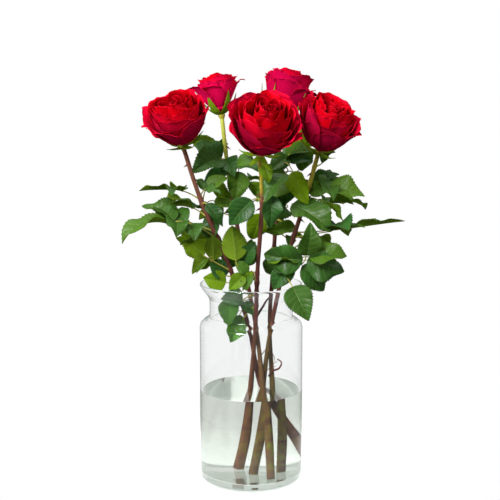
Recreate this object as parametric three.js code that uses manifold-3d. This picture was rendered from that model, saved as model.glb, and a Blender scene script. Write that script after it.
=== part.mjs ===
// Five red garden roses in a clear glass vase with a waisted neck, half filled with water.
// Millimetres, +Z up. The origin is the centre of the vase's underside; +X is to the right and
// -Y is the front.
import * as THREE from 'three';
import { mergeVertices } from 'three/addons/utils/BufferGeometryUtils.js';
import Module from 'manifold-3d';

const wasm = await Module();
wasm.setup();

// ---- driving dimensions ------------------------------------------------------------------

const GAP = 0.3; // left between pieces that touch
const VASE = {
  bodyRadius: 62.5,
  heelRadius: 7,
  shoulderHeight: 190,
  shoulderRadius: 11,
  neckRadius: 50.5,
  neckBottom: 204,
  neckTop: 227,
  lipRadius: 62,
  height: 245,
  wall: 3.2,
  floor: 9,
  segments: 30,
};
const WATER = { level: 113, holeClearance: 0.4 };
const STEM = { radius: 2.8, sides: 8, steps: 12 };
const THORN = { radius: 1.9, height: 6, sides: 4, lowest: 262, count: 3, sunk: 1.6, droop: 0.25 };
const LEAF_STALK = { radius: 1.15, sides: 3, steps: 3 };

// Widths and waves are shares of a leaflet's length; arch, twist and fold are in degrees.
const LEAFLET = {
  halfWidth: 0.385,
  thickness: 0.9,
  root: 0.6,
  fold: 17,
  wave: 0.045,
  arch: [30, 62],
  twist: [-12, 12],
  teeth: [[0.15, 0.95], [0.42, 1.08], [0.46, 0.95], [0.72, 1.12], [0.76, 0.9]],
  endRibs: [0.3, 0.64],
  sideRibs: [0.45],
};

// Where pairs of side leaflets stand on the stalk, their length as a share of the end leaflet's,
// and their angle from the stalk, which grows by `scatter` at random and by `opening` per pair.
const PAIRS = {
  single: 0.62,
  foremost: 0.82,
  apart: 0.28,
  stagger: 0.02,
  length: 0.84,
  taper: 0.1,
  spread: 58,
  scatter: 16,
  opening: 14,
  lift: [-0.25, 0.1],
};

const SEPAL = { count: 5, length: 33, halfWidth: 4.2, thickness: 0.8, root: 0.8, start: [3.6, -2.6] };
const HIP = { sides: 6, height: 9, profile: [[0, -9], [2.9, -9], [5.2, -4], [5.2, -1.6], [3.4, 0], [0, 0]] };
const GOLDEN_ANGLE = 137.5;

// `inner` holds the angles from the bloom's axis of the innermost petal's root, middle and tip.
const PETAL = {
  thickness: 0.9,
  halfWidth: 28,
  across: 4,
  inner: [8, 2, -20],
  innerShare: 0.24,
  start: [[3, 4], [4.4, 3.2]],
  ruffle: 0.035,
};

// The core that the petals grow from: a wide receptacle and the closed heart above it.
const HEART = {
  sides: 6,
  profile: [[0, GAP], [3.4, GAP], [9.6, 5], [9.6, 6.5], [2.2, 6.5], [4.8, 16], [5, 27], [3, 34], [0, 36]],
};

// A stem is a smooth line through hand-set points, from its cut foot in the water to the hip.
// A bloom opens along an axis that leans away from straight up towards an azimuth (degrees).
// `outer` holds the angles from that axis of the outermost petal's root, middle and tip, and
// `sepals` those of a sepal.
// A leaf: its height on the stem, the end of its stalk, the tip of its end leaflet, the way its
// upper side faces, and its pairs of side leaflets. `side` and `spread` set the length of those
// and their angle from the stalk where they differ from the rest.
const ROSES = {
  left_rose: {
    stem: [[48, 20, 12], [36, 17, 50], [10.5, 9, 120], [-3, 3, 190], [-24, -15, 262],
      [-59, -34, 350], [-78, -44, 411]],
    bloom: { lean: 22, azimuth: 250, petals: 13, length: 63, outer: [82, 26, 50], sepals: [96, 64, 50] },
    leaves: [
      { at: 348, end: [-92, -34, 361], tip: [-130, -38, 360], face: [0, 0, 1], pairs: 1 },
      { at: 300, end: [-97, -42, 317], tip: [-148, -60, 300], face: [0, -0.7, 1], pairs: 2 },
      { at: 344, end: [-52, -42, 345], tip: [-33, -44, 319], face: [0.4, -1, 0.4], pairs: 0 },
      { at: 262, end: [-56, -20, 281], tip: [-90, -5, 300], face: [0, 1, 0.4], pairs: 1 },
      { at: 247, end: [-30, -16, 248], tip: [-56, -17, 252], face: [0, -0.8, 0.8], pairs: 0 },
      { at: 236, end: [-24, -14, 228], tip: [-27, -20, 196], face: [0, -1, 0.3], pairs: 0 },
      { at: 352, end: [-51, -20, 362], tip: [-27, -15, 373], face: [0, -0.5, 1], pairs: 1 },
      { at: 326, end: [-78, 2, 338], tip: [-104, 34, 338], face: [0, 0.2, 1], pairs: 1 },
      { at: 280, end: [-62, 12, 292], tip: [-88, 44, 284], face: [0, 0.3, 1], pairs: 1 },
    ],
  },
  back_left_rose: {
    stem: [[21, -29, 10], [18, -22, 60], [14, -12, 120], [6, 0, 190], [-8, 15, 262],
      [-27, 36, 370], [-36, 45, 444]],
    bloom: { lean: 10, azimuth: 130, petals: 9, length: 50, outer: [52, 15, 58], sepals: [57, 25, 18] },
    leaves: [
      { at: 388, end: [-38, 20, 392], tip: [-70, -10, 378], face: [0, -0.9, 0.7], pairs: 1 },
      { at: 380, end: [-17, 18, 374], tip: [-13, 8, 344], face: [0, -1, 0.2], pairs: 0 },
      { at: 402, end: [-55, 78, 408], tip: [-74, 108, 404], face: [0, 0.4, 1], pairs: 1 },
      { at: 352, end: [0, 78, 362], tip: [16, 106, 352], face: [0, 0.4, 1], pairs: 1 },
      { at: 318, end: [-42, 52, 322], tip: [-66, 76, 312], face: [-0.2, 0.5, 1], pairs: 1 },
      { at: 212, end: [-14, 14, 202], tip: [-20, 16, 174], face: [0, -1, 0.2], pairs: 0 },
    ],
  },
  front_rose: {
    stem: [[-10, 22, 10.4], [-4, 12, 60], [0, 0, 120], [5, -15, 190], [7.5, -30, 262],
      [12.5, -52, 345], [10.5, -62, 398]],
    bloom: { lean: 30, azimuth: 275, petals: 13, length: 67, outer: [81, 22, 44], sepals: [98, 70, 50] },
    leaves: [
      { at: 350, end: [1, -56, 351], tip: [-25, -54, 322], face: [-0.3, -1, 0.3], pairs: 0 },
      { at: 258, end: [-18, -42, 279], tip: [-22, -46, 320], face: [0, 1, 0.1], pairs: 1 },
      { at: 250, end: [-8, -40, 261], tip: [-26, -42, 244], face: [0, -1, 0.5], pairs: 1 },
      { at: 384, end: [3, -50, 396], tip: [-17, -38, 389], face: [0, -0.8, 0.8], pairs: 0 },
      { at: 390, end: [15, -64, 392], tip: [20, -68, 372], face: [0.4, -1, 0.2], pairs: 0 },
    ],
  },
  back_right_rose: {
    stem: [[27, 3, 9.6], [28, 4, 60], [26, 5, 120], [23, 11, 190], [27, 22, 262],
      [32, 38, 345], [33, 52, 434]],
    bloom: { lean: 15, azimuth: 20, petals: 11, length: 66, outer: [62, 13, 40], sepals: [76, 34, 20] },
    leaves: [
      { at: 400, end: [42, 28, 392], tip: [72, 5, 403], face: [0, -0.6, 0.9], pairs: 1 },
      { at: 378, end: [50, 10, 379], tip: [67, -4, 343], face: [-1, -0.6, 0.3], pairs: 0 },
      { at: 384, end: [42, 12, 376], tip: [6, -25, 346], face: [0, -1, 0.6], pairs: 0 },
      { at: 340, end: [42, 8, 335], tip: [13, -18, 330], face: [0, -1, 0.5], pairs: 0 },
      { at: 404, end: [72, 88, 408], tip: [92, 116, 400], face: [0, 0.4, 1], pairs: 1 },
      { at: 346, end: [66, 78, 352], tip: [78, 112, 340], face: [0, 0.4, 1], pairs: 1 },
      { at: 300, end: [20, 62, 306], tip: [6, 94, 296], face: [-0.2, 0.4, 1], pairs: 1 },
    ],
  },
  right_rose: {
    stem: [[2, -4, 10], [9, -6, 60], [15, -2, 120], [24, -6, 190], [39, -13, 262],
      [62, -16, 340], [79, -15, 402]],
    bloom: { lean: 26, azimuth: 290, petals: 13, length: 66, outer: [79, 20, 38], sepals: [94, 60, 40] },
    leaves: [
      { at: 386, end: [84, -10, 390], tip: [100, -8, 403], face: [0, -0.7, 1], pairs: 0 },
      { at: 362, end: [91, -18, 361], tip: [133, -26, 352], face: [0, -0.4, 1], pairs: 1 },
      { at: 346, end: [52, -28, 344], tip: [93, -46, 314], face: [0.2, -1, 0.6], pairs: 0 },
      { at: 308, end: [119, -20, 314], tip: [181, -26, 323], face: [0, 0, 1], pairs: 1 },
      { at: 268, end: [64, -50, 286], tip: [68, -54, 325], face: [0, -1, 0.2], pairs: 2,
        side: 49, spread: 92 },
      { at: 254, end: [48, -56, 250], tip: [66, -76, 214], face: [0.3, -1, 0.4], pairs: 0 },
      { at: 330, end: [112, 26, 338], tip: [142, 48, 328], face: [0.2, 0.2, 1], pairs: 1 },
      { at: 286, end: [78, 22, 292], tip: [98, 52, 282], face: [0.2, 0.3, 1], pairs: 1 },
    ],
  },
};

const COLOURS = {
  vase: { color: 0xe9f1ef, roughness: 0.03, metalness: 0 },
  water: { color: 0xdfe6df, roughness: 0.02, metalness: 0 },
  leafyStem: { color: 0x3f7a3f, roughness: 0.55, metalness: 0 },
  bloom: { color: 0xb80a22, roughness: 0.6, metalness: 0 },
};

// ---- small tools -------------------------------------------------------------------------

const radians = THREE.MathUtils.degToRad;
const vector = ([x, y, z]) => new THREE.Vector3(x, y, z);
const { lerp } = THREE.MathUtils;

// A repeatable stream of numbers from 0 to 1.
function randomStream(seed) {
  let state = seed;
  return () => {
    state = (state * 16807) % 2147483647;
    return state / 2147483647;
  };
}

// The part of `v` that is square to the unit vector `along`, as a unit vector.
function squareTo(v, along) {
  return v.clone().addScaledVector(along, -v.dot(along)).normalize();
}

function signedVolume(points, triangles) {
  const [a, b, c] = [new THREE.Vector3(), new THREE.Vector3(), new THREE.Vector3()];
  let sum = 0;
  for (let i = 0; i < triangles.length; i += 3) {
    a.fromArray(points, 3 * triangles[i]);
    b.fromArray(points, 3 * triangles[i + 1]);
    c.fromArray(points, 3 * triangles[i + 2]);
    sum += a.dot(b.cross(c)) / 6;
  }
  return sum;
}

// A closed solid from points and triangles, turned face out if it was inside out.
function solid(points, triangles) {
  const faces = [];
  const outward = signedVolume(points, triangles) > 0;
  for (let i = 0; i < triangles.length; i += 3) {
    const [a, b, c] = [triangles[i], triangles[i + 1], triangles[i + 2]];
    if (a !== b && b !== c && c !== a) faces.push(a, outward ? b : c, outward ? c : b);
  }
  return new wasm.Manifold(new wasm.Mesh({
    numProp: 3,
    vertProperties: Float32Array.from(points),
    triVerts: Uint32Array.from(faces),
  }));
}

function solidOf(geometry, matrix = new THREE.Matrix4()) {
  geometry.deleteAttribute('normal');
  geometry.deleteAttribute('uv');
  const merged = mergeVertices(geometry, 1e-4).applyMatrix4(matrix);
  return solid(merged.attributes.position.array, merged.index.array);
}

const fuse = solids => solids.reduce((whole, next) => whole.add(next));

// The outer skin of the largest body: sealed pockets between blades are filled.
function outerSkin(manifold) {
  const { vertProperties, triVerts, numProp } = manifold.getMesh();
  const points = [];
  for (let i = 0; i < vertProperties.length; i += numProp) points.push(...vertProperties.slice(i, i + 3));
  const parent = Array.from({ length: points.length / 3 }, (_, i) => i);
  const root = i => {
    let r = i;
    while (parent[r] !== r) r = parent[r] = parent[parent[r]];
    return r;
  };
  for (let i = 0; i < triVerts.length; i += 3) {
    parent[root(triVerts[i])] = root(triVerts[i + 1]);
    parent[root(triVerts[i + 1])] = root(triVerts[i + 2]);
  }
  const shells = new Map();
  for (let i = 0; i < triVerts.length; i += 3) {
    const key = root(triVerts[i]);
    if (!shells.has(key)) shells.set(key, []);
    shells.get(key).push(triVerts[i], triVerts[i + 1], triVerts[i + 2]);
  }
  const size = shell => signedVolume(points, shell);
  const largest = [...shells.values()].reduce((best, next) => (size(next) > size(best) ? next : best));
  const geometry = new THREE.BufferGeometry();
  geometry.setAttribute('position', new THREE.Float32BufferAttribute(points, 3));
  geometry.setIndex(largest);
  return geometry.toNonIndexed();
}

function piece(name, manifold, look) {
  const geometry = outerSkin(manifold);
  geometry.computeVertexNormals();
  const mesh = new THREE.Mesh(geometry, new THREE.MeshStandardMaterial(look));
  mesh.name = name;
  return mesh;
}

// A solid of revolution about +Z from [radius, height] points that start and end on the axis.
function turned(profile, segments, matrix) {
  const geometry = new THREE.LatheGeometry(profile.map(([r, z]) => new THREE.Vector2(r, z)), segments);
  geometry.rotateX(Math.PI / 2);
  return solidOf(geometry, matrix);
}

// A round bar with closed ends along a curve.
function bar(curve, radius, sides, steps) {
  const section = new THREE.Shape();
  for (let i = 0; i < sides; i++) {
    const angle = (i / sides) * 2 * Math.PI;
    const [x, y] = [radius * Math.cos(angle), radius * Math.sin(angle)];
    if (i === 0) section.moveTo(x, y);
    else section.lineTo(x, y);
  }
  return solidOf(new THREE.ExtrudeGeometry(section, { steps, extrudePath: curve, bevelEnabled: false }));
}

// ---- thin blades -------------------------------------------------------------------------

// The point and the unit normal of surface(t, u) at (t, u).
function surfaceFrame(surface, t, u) {
  const step = 0.01;
  const alongT = surface(t + step, u).sub(surface(t - step, u));
  const alongU = surface(t, u + step).sub(surface(t, u - step));
  return { point: surface(t, u), normal: alongU.cross(alongT).normalize() };
}

// A lens-shaped blade cut from surface(t, u), t from root to tip and u from -1 to 1 across.
// `edge` lists [t, share of the half width] along each side, `ribs` the t of the points on the
// midrib, where both faces stand apart. Front and back are split alike and meet at the rim.
function leafBlade(surface, edge, ribs, thickness, root) {
  const points = [];
  const triangles = [];
  const put = p => points.push(p.x, p.y, p.z) / 3 - 1;
  const base = surfaceFrame(surface, 0.02, 0);
  const tip = { id: put(surface(1, 0)), t: 1 };
  const ribPoints = ribs.map(t => ({ t, ...surfaceFrame(surface, t, 0) }));
  const faces = [1, -1].map(face => [
    { id: put(base.point.clone().addScaledVector(base.normal, face * root)), t: 0 },
    ...ribPoints.map(({ t, point, normal }) => (
      { id: put(point.clone().addScaledVector(normal, face * thickness / 2)), t })),
  ]);
  const sides = [1, -1].map(side => [
    { id: put(surface(0, side)), t: 0 },
    ...edge.map(([t, share]) => ({ id: put(surface(t, side * share)), t })),
    tip,
  ]);
  faces.forEach((inner, face) => sides.forEach((outer, side) => {
    const flip = face !== side;
    let [i, j] = [0, 0];
    while (j < outer.length - 1) {
      const stepOut = i === inner.length - 1 || outer[j + 1].t <= inner[i + 1].t;
      const third = stepOut ? outer[++j] : inner[i + 1];
      const [a, b] = stepOut ? [inner[i], outer[j - 1]] : [inner[i++], outer[j]];
      triangles.push(a.id, ...(flip ? [third.id, b.id] : [b.id, third.id]));
    }
  }));
  const [[front], [back]] = faces;
  const [[right], [left]] = sides;
  triangles.push(right.id, front.id, left.id, right.id, left.id, back.id);
  return solid(points, triangles);
}

// A lens-shaped blade over a whole grid of surface(t, u), with t and u both running over it.
function gridBlade(surface, along, across, thickness) {
  const points = [];
  const triangles = [];
  const put = p => points.push(p.x, p.y, p.z) / 3 - 1;
  const ids = [[], []];
  for (let i = 0; i <= along; i++) {
    for (let j = 0; j <= across; j++) {
      const { point, normal } = surfaceFrame(surface, i / along, (2 * j) / across - 1);
      const rim = i === 0 || i === along || j === 0 || j === across;
      const half = rim ? 0 : thickness / 2;
      const front = put(point.clone().addScaledVector(normal, half));
      ids[0].push(front);
      ids[1].push(rim ? front : put(point.clone().addScaledVector(normal, -half)));
    }
  }
  for (let i = 0; i < along; i++) {
    for (let j = 0; j < across; j++) {
      const corner = i * (across + 1) + j;
      const [a, b, d, c] = [corner, corner + 1, corner + across + 1, corner + across + 2];
      const rising = (i < along / 2) === (j < across / 2);
      const split = rising ? [a, b, c, a, c, d] : [a, b, d, b, c, d];
      triangles.push(...split.map(k => ids[0][k]));
      triangles.push(...split.reverse().map(k => ids[1][k]));
    }
  }
  return solid(points, triangles);
}

// ---- leaves ------------------------------------------------------------------------------

// Half width of an oval, long-pointed leaflet, as a share of its widest.
function leafletOutline(t) {
  const s = THREE.MathUtils.clamp(t, 0, 1);
  return 0.04 + 1.05 * Math.sin(Math.PI * s ** 0.78) ** 0.85 * (1 - 0.3 * s);
}

// A leaflet: its midrib arches from root to tip, its halves fold up from it, its edge waves.
function leaflet(root, tip, face, ribs, random) {
  const length = root.distanceTo(tip);
  const chord = tip.clone().sub(root).normalize();
  const up = squareTo(face, chord);
  const across = chord.clone().cross(up);
  const fold = radians(LEAFLET.fold);
  const arch = radians(lerp(...LEAFLET.arch, random()));
  const twist = radians(lerp(...LEAFLET.twist, random()));
  const phase = 2 * Math.PI * random();
  const surface = (t, u) => {
    const turn = arch * (t - 0.5);
    const chordLength = 2 * Math.sin(arch / 2);
    const x = (length * (Math.sin(turn) + Math.sin(arch / 2))) / chordLength;
    const rise = (length * (Math.cos(turn) - Math.cos(arch / 2))) / chordLength;
    const normal = up.clone().multiplyScalar(Math.cos(turn)).addScaledVector(chord, Math.sin(turn));
    const halfWidth = length * LEAFLET.halfWidth * leafletOutline(t);
    const side = Math.abs(u) * halfWidth;
    const fade = Math.sin(Math.PI * Math.min(t, 1));
    const wave = LEAFLET.wave * length * Math.sin(9 * t + phase) * u * u * fade;
    const lift = side * Math.sin(fold) + twist * t * u * halfWidth + wave;
    return root.clone()
      .addScaledVector(chord, x)
      .addScaledVector(up, rise)
      .addScaledVector(across, u * halfWidth * Math.cos(fold))
      .addScaledVector(normal, lift);
  };
  return leafBlade(surface, LEAFLET.teeth, ribs, LEAFLET.thickness, LEAFLET.root);
}

// A compound leaf: a thin stalk from the stem, side leaflets in pairs and one at the end.
function compoundLeaf(stemCurve, leaf, random) {
  const root = pointAtHeight(stemCurve, leaf.at);
  const end = vector(leaf.end);
  const tip = vector(leaf.tip);
  const face = vector(leaf.face);
  const onwards = tip.clone().sub(end).normalize();
  const length = leaf.side ?? PAIRS.length * end.distanceTo(tip);
  const bend = end.clone().addScaledVector(onwards, -0.45 * root.distanceTo(end));
  const stalk = new THREE.QuadraticBezierCurve3(root, bend, end);
  const solids = [
    bar(stalk, LEAF_STALK.radius, LEAF_STALK.sides, LEAF_STALK.steps),
    leaflet(end, tip, face, LEAFLET.endRibs, random),
  ];
  for (let pair = 0; pair < leaf.pairs; pair++) {
    const place = leaf.pairs === 1 ? PAIRS.single : PAIRS.foremost - PAIRS.apart * pair;
    const along = stalk.getTangent(place).lerp(onwards, 0.5).normalize();
    const up = squareTo(face, along);
    const right = along.clone().cross(up);
    for (const side of [1, -1]) {
      const start = stalk.getPoint(place + side * PAIRS.stagger);
      const spread = radians((leaf.spread ?? PAIRS.spread) + PAIRS.scatter * random() + PAIRS.opening * pair);
      const way = along.clone().multiplyScalar(Math.cos(spread))
        .addScaledVector(right, side * Math.sin(spread))
        .addScaledVector(up, lerp(...PAIRS.lift, random()))
        .setLength(length * (1 - PAIRS.taper * pair));
      solids.push(leaflet(start, start.clone().add(way), face, LEAFLET.sideRibs, random));
    }
  }
  return solids;
}

// ---- stems -------------------------------------------------------------------------------

const stemCurveOf = rose => new THREE.CatmullRomCurve3(rose.stem.map(vector), false, 'catmullrom', 0.5);

function pointAtHeight(curve, height) {
  const samples = curve.getPoints(300);
  const distance = p => Math.abs(p.z - height);
  return samples.reduce((best, next) => (distance(next) < distance(best) ? next : best));
}

function thorns(curve, top, random) {
  return Array.from({ length: THORN.count }, (_, i) => {
    const height = lerp(THORN.lowest, top - 15, (i + random()) / THORN.count);
    const azimuth = 2 * Math.PI * random();
    const out = new THREE.Vector3(Math.cos(azimuth), Math.sin(azimuth), -THORN.droop).normalize();
    const reach = STEM.radius + THORN.height / 2 - THORN.sunk;
    const middle = pointAtHeight(curve, height).addScaledVector(out, reach);
    const turn = new THREE.Quaternion().setFromUnitVectors(new THREE.Vector3(0, 1, 0), out);
    const matrix = new THREE.Matrix4().compose(middle, turn, new THREE.Vector3(1, 1, 1));
    return solidOf(new THREE.ConeGeometry(THORN.radius, THORN.height, THORN.sides), matrix);
  });
}

// ---- blooms ------------------------------------------------------------------------------

// The bloom's own frame: +Z along its axis, its origin on top of the hip.
function bloomFrame(rose) {
  const { lean, azimuth } = rose.bloom;
  const [tilt, way] = [radians(lean), radians(azimuth)];
  const axis = new THREE.Vector3(
    Math.cos(way) * Math.sin(tilt), Math.sin(way) * Math.sin(tilt), Math.cos(tilt));
  const turn = new THREE.Quaternion().setFromUnitVectors(new THREE.Vector3(0, 0, 1), axis);
  const origin = vector(rose.stem.at(-1)).addScaledVector(axis, HIP.height / 2);
  return new THREE.Matrix4().compose(origin, turn, new THREE.Vector3(1, 1, 1));
}

// Radius and height on a line that starts at (radius, height) and turns smoothly through the
// three angles from the axis at its root, middle and tip; t is the share of its length.
function profilePoint(start, length, angles, t) {
  const steps = 12;
  let [radius, height] = start;
  for (let i = 0; i < steps; i++) {
    const s = ((i + 0.5) / steps) * t;
    const shares = [(1 - s) * (1 - 2 * s), 4 * s * (1 - s), s * (2 * s - 1)];
    const angle = radians(angles.reduce((sum, next, k) => sum + next * shares[k], 0));
    radius += (Math.sin(angle) * length * t) / steps;
    height += (Math.cos(angle) * length * t) / steps;
  }
  return [radius, height];
}

// Petal number k of a bloom, counted from the heart outwards. All petals wrap the axis on
// nested profiles, so that they overlap without cutting each other. `share` runs from the
// innermost petal to 1 for the outermost; in surface(v, u) a petal is cut back at its corners,
// widens from its root and is ruffled towards its edge.
function petal(bloom, k, random) {
  const share = lerp(PETAL.innerShare, 1, 1 - (1 - k / (bloom.petals - 1)) ** 1.12);
  const azimuth = radians(GOLDEN_ANGLE * k + bloom.azimuth);
  const opening = [share ** 0.9, share, share ** 1.5];
  const angles = PETAL.inner.map((inner, i) => lerp(inner, bloom.outer[i], opening[i]));
  const length = bloom.length * lerp(0.74, 1, share) * lerp(0.97, 1.03, random());
  const start = [0, 1].map(i => lerp(PETAL.start[0][i], PETAL.start[1][i], share));
  const along = share < 0.8 ? 3 : 4;
  const halfWidth = PETAL.halfWidth * lerp(0.55, 1, share);
  const surface = (v, u) => {
    const t = v * (1 - 0.2 * Math.abs(u) ** 3) + 0.02 * v * (1 - Math.abs(u));
    const [radius, height] = profilePoint(start, length, angles, t);
    const widening = 0.12 + 0.88 * Math.sin((Math.PI / 2) * Math.min(1, Math.max(v, 0) / 0.62));
    const spread = Math.min(1.25, (halfWidth * widening) / Math.max(radius, 3));
    const angle = azimuth + spread * u;
    const ruffle = 1 + PETAL.ruffle * v ** 3 * Math.sin(5 * angle + 3 * share);
    const reach = Math.max(radius, 0.8) * ruffle;
    return new THREE.Vector3(reach * Math.cos(angle), reach * Math.sin(angle), height);
  };
  return gridBlade(surface, along, PETAL.across, PETAL.thickness);
}

function bloomSolid(rose, seed) {
  const random = randomStream(seed);
  const heart = turned(HEART.profile, HEART.sides);
  const petals = Array.from({ length: rose.bloom.petals }, (_, k) => petal(rose.bloom, k, random));
  return fuse([heart, ...petals]).transform(bloomFrame(rose).elements);
}

// Hip and sepals, the green base that carries the bloom.
function calyx(rose, random) {
  const hip = turned(HIP.profile, HIP.sides);
  const sepals = Array.from({ length: SEPAL.count }, (_, i) => {
    const azimuth = radians((360 / SEPAL.count) * i + rose.bloom.azimuth + 40 * random());
    const angles = rose.bloom.sepals.map(angle => angle + lerp(-4, 10, random()));
    const out = new THREE.Vector3(Math.cos(azimuth), Math.sin(azimuth), 0);
    const across = new THREE.Vector3(-out.y, out.x, 0);
    const surface = (t, u) => {
      const [reach, rise] = profilePoint(SEPAL.start, SEPAL.length, angles, t);
      const s = THREE.MathUtils.clamp(t, 0, 1);
      const side = u * SEPAL.halfWidth * (0.45 + 2.4 * s) * (1 - s) ** 1.3;
      return out.clone().multiplyScalar(reach)
        .addScaledVector(across, side)
        .add(new THREE.Vector3(0, 0, rise + 0.12 * Math.abs(side)));
    };
    return leafBlade(surface, [[0.3, 1], [0.7, 1]], [0.35], SEPAL.thickness, SEPAL.root);
  });
  return [hip, ...sepals].map(part => part.transform(bloomFrame(rose).elements));
}

function leafyStemSolid(rose, seed) {
  const random = randomStream(seed);
  const curve = stemCurveOf(rose);
  const top = rose.stem.at(-1)[2];
  return fuse([
    bar(curve, STEM.radius, STEM.sides, STEM.steps),
    ...thorns(curve, top, random),
    ...calyx(rose, random),
    ...rose.leaves.flatMap(leaf => compoundLeaf(curve, leaf, random)),
  ]);
}

// ---- vase and water ----------------------------------------------------------------------

const arc = (centre, radius, from, to, steps) => Array.from({ length: steps + 1 }, (_, i) => {
  const angle = radians(lerp(from, to, i / steps));
  return [centre[0] + radius * Math.cos(angle), centre[1] + radius * Math.sin(angle)];
});

// The side of the vase from the shoulder to the lip, moved inwards by `inset`: a rounded
// shoulder, a hollow into the straight neck and a flare that opens to the lip.
function vaseSide(inset) {
  const { bodyRadius, shoulderHeight, shoulderRadius, neckRadius, neckBottom, neckTop, lipRadius } = VASE;
  const hollow = 4;
  return [
    ...arc([bodyRadius - shoulderRadius, shoulderHeight], shoulderRadius - inset, 0, 62, 3),
    [neckRadius + 1.2 - inset, neckBottom - 1],
    [neckRadius - inset, neckBottom + hollow],
    [neckRadius - inset, neckTop - hollow],
    [neckRadius + 2 - inset, neckTop + 2],
    [lerp(neckRadius, lipRadius, 0.62) - inset, neckTop + 9],
    [lipRadius - inset, VASE.height - 2.4],
  ];
}

function vaseSolid() {
  const { bodyRadius, heelRadius, wall, floor, height, lipRadius } = VASE;
  const heel = arc([bodyRadius - heelRadius, heelRadius], heelRadius, -90, 0, 3);
  const innerHeel = arc([bodyRadius - wall - heelRadius, floor + heelRadius], heelRadius, 0, -90, 3);
  return turned([
    [0, 0], ...heel, ...vaseSide(0),
    [lipRadius - 0.9, height - 0.4], [lipRadius - 2, height],
    ...vaseSide(wall).reverse(), ...innerHeel, [0, floor],
  ], VASE.segments);
}

function waterSolid() {
  const { bodyRadius, heelRadius, wall, floor, segments } = VASE;
  const radius = (bodyRadius - wall) * Math.cos(Math.PI / segments) - GAP;
  const bottom = floor + GAP;
  const heel = arc([radius - heelRadius, bottom + heelRadius], heelRadius, -90, 0, 2);
  const body = turned([[0, bottom], ...heel, [radius, WATER.level], [0, WATER.level]], segments);
  return Object.values(ROSES).reduce((water, rose) => {
    const curve = stemCurveOf(rose);
    const foot = curve.getPoint(0);
    const below = foot.clone().addScaledVector(curve.getTangent(0), -floor);
    const radiusOfHole = STEM.radius + WATER.holeClearance;
    const hole = bar(curve, radiusOfHole, STEM.sides, STEM.steps);
    const end = bar(new THREE.LineCurve3(below, foot), radiusOfHole, STEM.sides, 1);
    return water.subtract(hole.add(end));
  }, body);
}

// ---- the object --------------------------------------------------------------------------

const bouquet = new THREE.Group();
bouquet.add(piece('vase', vaseSolid(), COLOURS.vase));
bouquet.add(piece('water', waterSolid(), COLOURS.water));
Object.entries(ROSES).forEach(([name, rose], i) => {
  bouquet.add(piece(`${name}_leafy_stem`, leafyStemSolid(rose, 11 + 7 * i), COLOURS.leafyStem));
  bouquet.add(piece(`${name}_bloom`, bloomSolid(rose, 101 + 7 * i), COLOURS.bloom));
});

export default bouquet;
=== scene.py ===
import math

import bpy
import numpy as np
from bpy.props import FloatProperty, FloatVectorProperty, PointerProperty
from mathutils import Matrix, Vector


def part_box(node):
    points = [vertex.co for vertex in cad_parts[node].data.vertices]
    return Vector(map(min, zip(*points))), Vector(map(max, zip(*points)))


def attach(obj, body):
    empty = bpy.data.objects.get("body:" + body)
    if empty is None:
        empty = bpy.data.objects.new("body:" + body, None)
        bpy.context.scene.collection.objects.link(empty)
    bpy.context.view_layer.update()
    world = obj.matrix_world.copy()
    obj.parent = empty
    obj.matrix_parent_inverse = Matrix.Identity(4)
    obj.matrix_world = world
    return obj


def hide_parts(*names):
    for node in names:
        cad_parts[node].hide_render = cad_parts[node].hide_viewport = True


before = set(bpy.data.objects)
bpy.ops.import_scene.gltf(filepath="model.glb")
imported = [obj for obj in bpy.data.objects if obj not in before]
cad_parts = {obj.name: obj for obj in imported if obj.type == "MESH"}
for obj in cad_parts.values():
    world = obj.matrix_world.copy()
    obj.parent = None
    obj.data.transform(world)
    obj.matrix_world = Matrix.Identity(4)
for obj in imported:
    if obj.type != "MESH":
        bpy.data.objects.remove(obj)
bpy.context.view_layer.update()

bl_info = {
    "name": "Roses in a Glass Vase",
    "version": (1, 0, 0),
    "blender": (4, 5, 0),
    "location": "3D View > Sidebar > Roses",
    "description": "Five red garden roses with leafy stems in a clear vase half full of water",
    "category": "Add Mesh",
}

MM = 0.001

# ---- the arrangement, in millimetres and degrees ---------------------------------------------
# stem: given points of a smooth line, from the cut foot in the water to the hip.
# bloom: its axis leans from straight up towards `azimuth`. `count` petals grow in a spiral, the
# longest about `length` long. `outer` holds the angles from the axis of the outermost one's root,
# middle and tip, `sepals` those of a sepal, and `calyx` a sepal's length and half width. `crowd` is
# how strongly the heart is folded, into arms whose number comes from `lobes`. Petals that stand
# towards the azimuth `front` are shorter by `dip`. `pink` is how bright the backs of a pinker
# bloom's petals are, partly painted light: it is lower for a bloom that the lamps light more and
# higher for one in shade; 0 stands for the usual crimson. `guards` are the outermost petals:
# azimuth, length, angles, roll of the lip, half width and point.
# fresh: the height where the bark turns into young wood. wood: how red the stem is in the water.
# moss: how green its patches in the water and its young wood are.
# twigs: dry side shoots in the vase, as radius and line.


def sprig(at, end, tip, face, pairs=0, **more):
    """A compound leaf: its height on the stem, the end of its stalk, the tip of its end leaflet,
    the way its upper side faces and its pairs of side leaflets. `side` and `spread` set their
    length and their angle from the stalk where these differ from the rest, `shape` the end
    leaflet's width and bend, and `young` how much it takes of the young leaves' lighter green,
    which is also painted light standing in for light that shows through backlit leaves."""
    return {"at": at, "end": end, "tip": tip, "face": face, "pairs": pairs, **more}


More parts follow.
